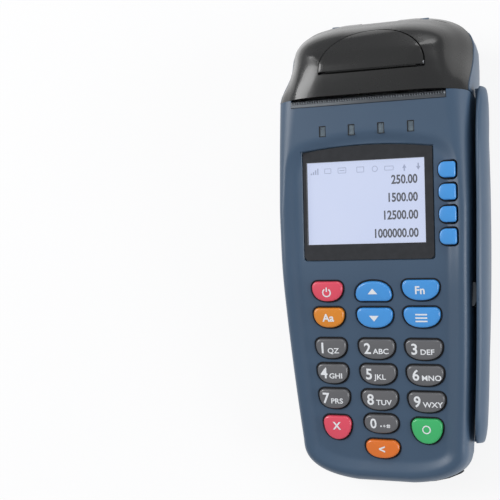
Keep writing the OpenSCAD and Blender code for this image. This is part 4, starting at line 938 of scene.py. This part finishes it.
def sign(*outlines):
    """Flat signs from closed outlines, as thick as the print."""
    shape = bmesh.new()
    for outline in outlines:
        low = [shape.verts.new((x, y, -PRINT)) for x, y in outline]
        high = [shape.verts.new((x, y, PRINT)) for x, y in outline]
        shape.faces.new(low[::-1])
        shape.faces.new(high)
        for i in range(len(low)):
            j = (i + 1) % len(low)
            shape.faces.new((low[i], low[j], high[j], high[i]))
    bmesh.ops.triangulate(shape, faces=shape.faces)
    bmesh.ops.recalc_face_normals(shape, faces=shape.faces)
    mesh = bpy.data.meshes.new("sign")
    shape.to_mesh(mesh)
    shape.free()
    return mesh


def bar(x, y, w, h): return [(x - w / 2, y - h / 2), (x + w / 2, y - h / 2),
                             (x + w / 2, y + h / 2), (x - w / 2, y + h / 2)]


def hoop(x, y, r, wide, a0=0, a1=360, steps=12):
    """A ring, or a part of one, as a row of slightly overlapping outlines."""
    out, core = arc(x, y, r, a0, a1, steps), arc(x, y, r - wide, a0, a1, steps)
    return [[out[i], out[i + 1], core[i + 1], core[i]] for i in range(steps - 1)]


def printed(name, meshes, lift, place, finish, body):
    shape = bmesh.new()
    for mesh in meshes:
        shape.from_mesh(mesh)
    bmesh.ops.remove_doubles(shape, verts=shape.verts, dist=0.002)
    bmesh.ops.subdivide_edges(shape, edges=[e for e in shape.edges if e.calc_length() > 1.2],
                              cuts=1)
    for v in shape.verts:
        v.co.z += lift(v.co.x, v.co.y)
    bmesh.ops.triangulate(shape, faces=shape.faces)
    mesh = bpy.data.meshes.new(name)
    shape.to_mesh(mesh)
    shape.free()
    mesh.transform(Matrix.Scale(MM, 4) @ place)
    obj = bpy.data.objects.new(name, mesh)
    bpy.context.scene.collection.objects.link(obj)
    return dressed(obj, finish, body)


def key_dome(x, y):
    return key_rise - key_dome_r + math.sqrt(key_dome_r ** 2 - x * x - y * y) + PRINT * 1.2


print("tools for prints are ready")

# %% Legends of the keys
letters = {"1": "QZ", "2": "ABC", "3": "DEF", "4": "GHI", "5": "JKL", "6": "MNO", "7": "PRS",
           "8": "TUV", "9": "WXY"}
legends = {digit: [words(digit, 5.9, -4.7 if digit in "147" else -4.9, 0.15, 0.11),
                   words(text, 2.9, -1.2, -0.75, 0.05, wide=1.1)]
           for digit, text in letters.items()}
legends["0"] = [words("0", 5.4, -4.2, 0.1, 0.1),
                sign(bar(0.2, -0.6, 0.6, 0.6), bar(1.5, -0.5, 1.0, 0.25), bar(1.5, -0.5, 0.25, 1.0),
                     bar(3.1, -0.25, 1.5, 0.25), bar(3.1, -0.85, 1.5, 0.25),
                     bar(2.85, -0.55, 0.25, 1.5), bar(3.4, -0.55, 0.25, 1.5))]
legends["power"] = [sign(*hoop(0, -0.3, 1.8, 0.5, 122, 418), bar(0, 0.9, 0.5, 1.7))]
legends["up"] = [sign([(-1.9, -1.0), (1.9, -1.0), (0, 1.2)])]
legends["down"] = [sign([(-1.9, 1.0), (0, -1.2), (1.9, 1.0)])]
legends["func"] = [words("Fn", 4.2, 0, 0, 0.1, "CENTER")]
legends["menu"] = [sign(bar(0, 1.3, 4.6, 0.55), bar(0, 0, 4.6, 0.55), bar(0, -1.3, 4.6, 0.55))]
legends["alpha"] = [words("Aa", 4.2, 0, 0, 0.1, "CENTER")]
legends["cancel"] = [words("X", 4.2, 0, 0.8, 0.1, "CENTER")]
legends["clear"] = [words("<", 4.6, 0, 0, 0.1, "CENTER")]
legends["enter"] = [sign(*hoop(0, 0.9, 1.7, 0.45))]
for name, meshes in legends.items():
    x, y = key_rows[name][:2]
    printed("print_" + name, meshes, key_dome, on_keypad @ Matrix.Translation((x, y, 0)),
            white_ink, "key_" + name)

# %% [markdown]
# ## The printer cover
# The cover is a smoked, glossy dome. Its front edge is a straight line across the body, and
# its lower edge follows the falling seam to the hinge at the rear. A smooth curve is drawn
# through the heights and insets of the CAD rings, so that long reflections run over it as
# they do over polished plastic.

# %% The rule of the dome
cover_l, cover_top, cover_t = 34.0, 51.0, 1.8
ring_f = np.array([0, .2, .44, .63, .8, .92, .98, 1])
ring_d = np.array([0.4, 2.0, 4.5, 6.6, 9.2, 13.5, 17.5, 21])


def smooth_curve(xs, ys, x):
    """Monotone cubic through the points."""
    xs, ys = np.asarray(xs, float), np.asarray(ys, float)
    h, slope = np.diff(xs), np.diff(ys) / np.diff(xs)
    m = np.concatenate([[slope[0]], np.zeros(len(xs) - 2), [slope[-1]]])
    for i in range(1, len(xs) - 1):
        a, b = slope[i - 1], slope[i]
        m[i] = 0 if a * b <= 0 else 2 * a * b / (a + b)
    i = int(np.clip(np.searchsorted(xs, x) - 1, 0, len(xs) - 2))
    t = (min(max(x, xs[0]), xs[-1]) - xs[i]) / h[i]
    return float((2 * t ** 3 - 3 * t ** 2 + 1) * ys[i] + (t ** 3 - 2 * t ** 2 + t) * h[i] * m[i]
                 + (-2 * t ** 3 + 3 * t ** 2) * ys[i + 1] + (t ** 3 - t ** 2) * h[i] * m[i + 1])


def seam_z(y):
    return 30 + 12.4 * smooth_curve([0, .1, .19, .28, .38, .47, .56, 1],
                                    [1, .87, .66, .43, .2, .06, 0, 0], (y - cover_y) / cover_l)


def crown_z(y):
    return cover_top + smooth_curve([0, .09, .2, .32, .47, .6, 1],
                                    [-1.2, -.6, -.1, 0, -.4, -.8, -.8], (y - cover_y) / cover_l)


def cover_ring(f, d, y0, low, drop):
    y1 = tail_start(d)
    side = [(half_width(cover_y) - d, y0)]
    side += [(half_width(y) - d, cover_y + (y - cover_y) * (y1 - cover_y) / (tail_y - cover_y))
             for y in np.linspace(cover_y, tail_y, 16)[1:]] + tail_side(d, 26)
    return both([(x, y, (1 - f) * (seam_z(max(y, cover_y)) - low)
                  + f * (crown_z(max(y, cover_y)) - drop)) for x, y in side])


def cover_levels(steps=26):
    arc_at = np.concatenate([[0], np.cumsum(np.hypot(np.diff(ring_f) * 16, np.diff(ring_d)))])
    return [(smooth_curve(arc_at, ring_f, s), smooth_curve(arc_at, ring_d, s))
            for s in np.linspace(0, arc_at[-1], steps)]


def dome(name, lift=0.0):
    return loft(name, [[(x, y, z + lift) for x, y, z in cover_ring(f, d, cover_y, 0, 0)]
                       for f, d in cover_levels()])


print("cover levels:", [(round(f, 2), round(d, 1)) for f, d in cover_levels(6)])

# %% [markdown]
# The half-moon lever lies in a pocket of the dome. The pocket, the arms that carry the paper
# roller, the rolled rear edge and the gaps around the hinge knuckles are cut or joined as in
# the CAD solid, so the dressed cover moves in the same room. Only its lower edge lies up to
# 0.8 mm further out than the solid's, as in the photograph.

# %% Build the cover and its lever
lever_x, lever_hw, lever_y0, lever_l = 2.0, 20.5, cover_y + 9.2, 16.0
lever_pin = frame["joints"][[j["name"] for j in frame["joints"]].index("lever_lift")]["pos_m"]
pin_y, pin_z = lever_pin[1] / MM, lever_pin[2] / MM
hinge_y, hinge_z, platen_y, platen_z, mech_x = rear_y - 4, 30.0, cover_y + 6.3, 38.0, 0.4
roll_r, arm_x, arm_ht, knuckle_r, knuckle_gap = 4.0, 28.95, 0.55, 4.2, 0.3
knuckles = ((-7.5, 7.5), (17, 19.6), (-19.6, -17))
lever_gap, lever_raise, lever_t, pin_hw = 0.5, 0.45, 1.1, lever_hw + 0.35
shaft_room_r, gear_room_r = 2.3, 4.5


def lever_outline(g):
    pts = [(-lever_hw - g, lever_y0 - g), (lever_hw + g, lever_y0 - g)]
    pts += [((lever_hw + g) * math.cos(a), lever_y0 + 1 + (lever_l - 1 + g) * math.sin(a))
            for a in np.radians(np.linspace(3, 177, 60))]
    return [(x + lever_x, y) for x, y in pts]


def both_of(a, b): return cut(a, [b], "INTERSECT")


cover = dome("smoked_cover")
hollow = loft("tool", [cover_ring(f, d + cover_t, cover_y - 3, 0.8, cover_t)
                       for f, d in cover_levels()])
cut(cover, [hollow])
floor_block = both_of(dome("lever_floor", -0.9), prism("tool", lever_outline(1.6), 40, 70))
cut(floor_block, [dome("tool", -3.4)])
roll = both_of(rod("roll", roll_r, -45, 45, hinge_y, hinge_z, 64),
               prism("tool", mirrored(front_side(1.9, cover_y, 30) + tail_side(1.9)), 20, 60))
arms = []
for s in (-1, 1):
    x = mech_x + s * arm_x
    arm = loft("arm", [[(x + u, y, z) for y, z in ((platen_y - 3.4, 35.4), (platen_y + 3.4, 35.4),
               (platen_y + 5.5, 45), (platen_y + 7, 60), (platen_y - 3.4, 60))]
               for u in (-arm_ht, arm_ht)], True)
    arms.append(both_of(arm, dome("tool", -0.2)))
cut(cover, [floor_block, roll] + arms, "UNION")
pocket = prism("pocket", lever_outline(lever_gap), 40, 70)
cut(pocket, [dome("tool", -1.6)])
# The lever's pocket and pin slot, the shaft's bore, room for its gear, gaps at the knuckles
bores = [pocket, block("tool", lever_x - pin_hw, lever_x + pin_hw, pin_y - 1.75, pin_y,
                       pin_z - 0.5, 60),
         rod("tool", shaft_room_r, -35, 35, platen_y, platen_z, 40),
         rod("tool", gear_room_r, mech_x - 32.9, mech_x - 30.6, platen_y, platen_z)]
bores += [rod("tool", knuckle_r, a - knuckle_gap, b + knuckle_gap, hinge_y, hinge_z)
          for a, b in knuckles]
cut(cover, bores)
cover.data.transform(Matrix.Translation((centre_x * MM, 0, 0)))
soften(cover, 0, sharp=38)
dressed(cover, smoke_finish, "cover", "printer_cover")

lever = both_of(dome("release_lever_dressed", lever_raise),
                prism("tool", lever_outline(0), 40, 70))
cut(lever, [dome("tool", -lever_t)])
cut(lever, [rod("tool", 1.3, lever_x - 17.5, lever_x + 17.5, pin_y, pin_z, 40)], "UNION")
lever.data.transform(Matrix.Translation((centre_x * MM, 0, 0)))
soften(lever, 0.25, 30, 38)
dressed(lever, smoke_finish, "lever", "release_lever")

# %% [markdown]
# ## Other shells and hardware
# The lower shell, the battery cover, the flap and the metal parts keep their CAD shape. Each
# is copied, its loose triangles are merged into faces, and its edges get a small rounding
# that catches the light, as every moulded or stamped edge does.

# %% Soft-edged copies
for node, width in (("rear_housing", 0.25), ("battery_cover", 0.2), ("port_cover", 0.2),
                    ("tear_bar", 0.06), ("rubber_feet", 0.3), ("mag_head", 0.1)):
    copied(node, width)

# %% [markdown]
# ## The swipe rail
# Beside the slot runs a thin wall whose ridge is narrow and whose outer face swells and
# tucks under again. Cross-sections of that profile follow the curved flank of the body and
# close down at both rounded ends. The wall is thinner here than in the CAD solid, because
# that is how the photograph shows it.

# %% Sweep the rail
rail_profile = ((0.0, -0.9), (0.35, -0.25), (0.9, 0.0), (1.5, -0.25), (2.2, -1.6), (2.9, -3.6),
                (3.3, -6.0), (3.3, -9.0), (2.9, -12.0), (2.3, -15.0))


def rail_top(y):
    return rim_z(y) - smooth_curve(
        [0, 4, 10, 26, 77, 95, 112, 122, 129, 133.5, 136],
        [5, 2.2, 0.8, 0.6, 0.6, 0.7, 1.4, 3.2, 6, 9.5, 13], (y - rail_y0) * 136 / rail_l)


def rail_section(y):
    """One closed cross-section: ridge, outer face, underside and the wall of the slot."""
    top, low = rail_top(y), slot_floor(y) - 3
    ends = min((y - rail_y0) / 9, (rail_y0 + rail_l - y) / 9, 1)
    thick = math.sqrt(max(0.0, 1 - (1 - ends) ** 2)) * 0.55 + 0.45
    tall = top - low
    x0 = half_width(y) + slot_w
    pts = [(x0 + t * thick, y, top + z * min(1, tall / 17)) for t, z in rail_profile]
    under_t = rail_profile[-1][0] * thick
    pts += [(x0 + under_t * 0.75, y, low + 0.3), (x0 + under_t * 0.3, y, low), (x0, y, low + 0.3)]
    pts += [(x0, y, low + (top - 0.9 * min(1, tall / 17) - low) * s) for s in (0.3, 0.6, 0.85)]
    return pts


rail_ys = rail_y0 + rail_l * (1 - np.cos(np.linspace(0.04, math.pi - 0.04, 90))) / 2
rail = loft("rail_wall", [rail_section(y) for y in rail_ys], flat_caps=True)
sill_ys = np.linspace(rail_y0, rail_y0 + rail_l, 40)
sill = loft("rail_floor", [[(half_width(y) + a, y, slot_floor(y) + b) for a, b in
            ((0.15, 0), (slot_w + 0.6, 0), (slot_w + 0.6, -3), (0.15, -3))] for y in sill_ys], True)
cut(rail, [sill], "UNION")
rail.data.transform(Matrix.Translation((centre_x * MM, 0, 0)))
pegs = [placed(rod("peg", 1.1, -3.2, 1.8, 0, slot_floor(y) - 1.6, 32), head_place(y))
        for y in (rail_y0 + 14, rail_y0 + 62, rail_y0 + 112)]
cut(rail, pegs, "UNION")
soften(rail, 0, sharp=40)
dressed(rail, shell_finish, "base", "swipe_rail")

# %% [markdown]
# ## Shade rings and bars: shapes that repeat
# A near-black ring of painted shade lies in the gap around every key, soft key and status light.
# It follows the outline of each opening, so a node tree sweeps one round profile along all of them.
# The signal bars on the screen are a row whose items grow, which a second tree makes.

# %% Node trees
def new_tree(name, inputs):
    tree = bpy.data.node_groups.new(name, "GeometryNodeTree")
    tree.interface.new_socket("Geometry", in_out="OUTPUT", socket_type="NodeSocketGeometry")
    ids = {}
    for label, kind in inputs.items():
        ids[label] = tree.interface.new_socket(label, in_out="INPUT",
                                               socket_type="NodeSocket" + kind).identifier
    given, result = tree.nodes.new("NodeGroupInput"), tree.nodes.new("NodeGroupOutput")

    def add(kind, links=None, **settings):
        node = tree.nodes.new(kind)
        for key, value in settings.items():
            setattr(node, key, value)
        for key, value in (links or {}).items():
            if isinstance(value, str):
                tree.links.new(given.outputs[value], node.inputs[key])
            elif isinstance(value, bpy.types.NodeSocket):
                tree.links.new(value, node.inputs[key])
            else:
                node.inputs[key].default_value = value
        return node

    def close(last):
        whole = add("GeometryNodeRealizeInstances", {"Geometry": last})
        skin = add("GeometryNodeSetMaterial", {"Geometry": whole.outputs[0], "Material": "Finish"})
        tree.links.new(skin.outputs[0], result.inputs[0])
        return tree, ids
    return add, close


def shade_ring_tree():
    add, close = new_tree("shade_rings", {"Geometry": "Geometry", "Radius": "Float", "Sides": "Int",
                                      "Finish": "Material"})
    path = add("GeometryNodeMeshToCurve", {"Mesh": "Geometry"})
    profile = add("GeometryNodeCurvePrimitiveCircle", {"Resolution": "Sides", "Radius": "Radius"})
    tube = add("GeometryNodeCurveToMesh", {"Curve": path.outputs[0],
                                           "Profile Curve": profile.outputs[0]})
    return close(tube.outputs[0])


def bars_tree():
    add, close = new_tree("bars", {"Geometry": "Geometry", "Count": "Int", "First": "Vector",
                                   "Pitch": "Vector", "Size": "Vector", "Growth": "Float",
                                   "Unevenness": "Float", "Seed": "Int", "Finish": "Material"})
    line = add("GeometryNodeMeshLine", {"Count": "Count", "Start Location": "First",
                                        "Offset": "Pitch"}, mode="OFFSET")
    item = add("GeometryNodeMeshCube", {"Size": "Size"})
    foot = add("ShaderNodeVectorMath", {0: "Size", 1: (0, 0.5, 0)}, operation="MULTIPLY")
    stood = add("GeometryNodeTransform", {"Geometry": item.outputs[0],
                                          "Translation": foot.outputs[0]})
    index = add("GeometryNodeInputIndex")
    step = add("ShaderNodeMath", {0: index.outputs[0], 1: "Growth"}, operation="MULTIPLY")
    chance = add("FunctionNodeRandomValue", {"Max": "Unevenness", "ID": index.outputs[0],
                                             "Seed": "Seed"}, data_type="FLOAT")
    more = add("ShaderNodeMath", {0: step.outputs[0], 1: chance.outputs["Value"]})
    tall = add("ShaderNodeMath", {0: more.outputs[0], 1: 1.0})
    scale = add("ShaderNodeCombineXYZ", {0: 1.0, 1: tall.outputs[0], 2: 1.0})
    row = add("GeometryNodeInstanceOnPoints", {"Points": line.outputs[0],
                                               "Instance": stood.outputs[0],
                                               "Scale": scale.outputs[0]})
    return close(row.outputs[0])


def grown(name, base, tree_and_ids, **values):
    """Runs a node tree over a base mesh and keeps the result as a plain mesh object."""
    tree, ids = tree_and_ids
    obj = bpy.data.objects.new(name, base)
    bpy.context.scene.collection.objects.link(obj)
    grow = obj.modifiers.new(name, "NODES")
    grow.node_group = tree
    for label, value in values.items():
        grow[ids[label]] = value
    graph = bpy.context.evaluated_depsgraph_get()
    obj.data = bpy.data.meshes.new_from_object(obj.evaluated_get(graph))
    obj.modifiers.clear()
    return outward(obj, 0.00001)


print("node trees are ready")

# %% [markdown]
# The painted-shade ring's middle line lies just outside the key, and below the face by a little
# more than its radius, so the key never rubs on it and the rim of the opening keeps its edge.

# %% Painted shade in the gaps of the keys
def loops(name, closed_lines):
    points, edges = [], []
    for line in closed_lines:
        n, start = len(line), len(points)
        points += [tuple(c * MM for c in p) for p in line]
        edges += [(start + i, start + (i + 1) % n) for i in range(n)]
    mesh = bpy.data.meshes.new(name)
    mesh.from_pydata(points, edges, [])
    return mesh


def lying(outline, place, z):
    return [tuple(place @ Vector((x, y, z))) for x, y in outline]


# Each ring is painted shade: a near-black tube in a key's gap stands for the shade down in the
# opening.
shade_ring_r, shade_ring_gap = 0.33, 0.42
lines = [lying(key_outline(w, h, r, q, grow=shade_ring_gap), key_place(name), -0.38)
         for name, (x, y, w, h, r, q) in key_rows.items()]
lines += [lying(soft_outline(shade_ring_gap), soft_place(i), -0.2) for i in (1, 2, 3, 4)]
shade_rings = grown("key_gap_shade", loops("key_gap_shade", lines), shade_ring_tree(), Radius=shade_ring_r * MM,
                Sides=8, Finish=gap_shade_finish)
soften(shade_rings, 0, sharp=60)
dressed(shade_rings, gap_shade_finish, "base")

# %% Painted shade around the status lights
# Each black ring around a status light is painted shade, standing for the shade in the opening's
# gap.
light_shade_r, light_shade_hw, light_shade_hh = 0.2, light_hw + 0.05, light_hh + 0.05
light_lines = [lying([(x + sx * light_shade_hw, light_y + sy * light_shade_hh)
                      for sx, sy in ((1, 1), (-1, 1), (-1, -1), (1, -1))],
                     on_display, rim_h - 0.12) for x in light_x]
light_shade_rims = grown("light_gap_shade", loops("light_gap_shade", light_lines), shade_ring_tree(), Radius=light_shade_r * MM,
             Sides=6, Finish=black_finish)
soften(light_shade_rims, 0, sharp=60)
dressed(light_shade_rims, black_finish, "base")

# %% [markdown]
# ## The screen's content
# The photograph's words are replaced by four plain amounts beside the soft keys, right-aligned
# as the words are. A faint row of generic signs runs along the top. They lie on the panel, under
# the window, so the glass covers them.

# %% Amounts and signs
lcd_face, amount_x = -1.36, lcd_x + lcd_w / 2 - 3.0
amounts = [words(text, 4.7, amount_x, y, 0.13, "RIGHT", 0.8)
           for text, y in (("250.00", 34.6), ("1500.00", 27.8), ("12500.00", 21.1),
                           ("1000000.00", 14.2))]
printed("screen_amounts", amounts, lambda x, y: lcd_face, on_display, dark_ink, "base")


def frame_bars(x, y, w, h, t):
    return [bar(x, y + h / 2, w, t), bar(x, y - h / 2, w, t),
            bar(x - w / 2, y, t, h - t), bar(x + w / 2, y, t, h - t)]


def arrow(x, y, up):
    head, tail = up * 1.2, up * 0.2
    return [[(x - 0.8, y - tail), (x + 0.8, y - tail), (x, y + head)][::up],
            bar(x, y - up * 0.8, 0.5, 1.2)]


row_y, row_x, stroke = lcd_y + lcd_h / 2 - 3.4, lcd_x - lcd_w / 2, 0.22
icons = [bar(row_x + 14.2, row_y, 2.0, 0.3)] + hoop(row_x + 27.4, row_y, 1.2, 0.25)
for x, w, h in ((8.4, 2.6, 1.8), (14.2, 3.2, 2.0), (21.6, 2.8, 2.0), (33.0, 3.4, 1.5)):
    icons += frame_bars(row_x + x, row_y, w, h, stroke)
icons += arrow(row_x + 39, row_y, 1) + arrow(row_x + 44.4, row_y, -1)
printed("screen_signs", [sign(*icons)], lambda x, y: lcd_face, on_display, faint_ink, "base")
empty = bpy.data.meshes.new("screen_bars")
bars = grown("screen_bars", empty, bars_tree(), Count=4,
             First=(row_x + 1.6, row_y - 1.2, lcd_face), Pitch=(0.9, 0.0, 0.0),
             Size=(0.5, 0.6, 2 * PRINT), Growth=1.0, Unevenness=0.0, Seed=7, Finish=faint_ink)
# The row is made in the display's millimetres and then laid on the panel
bars.data.transform(Matrix.Scale(MM, 4) @ on_display)
dressed(bars, faint_ink, "base")

# %% Finish
print("the terminal is dressed")
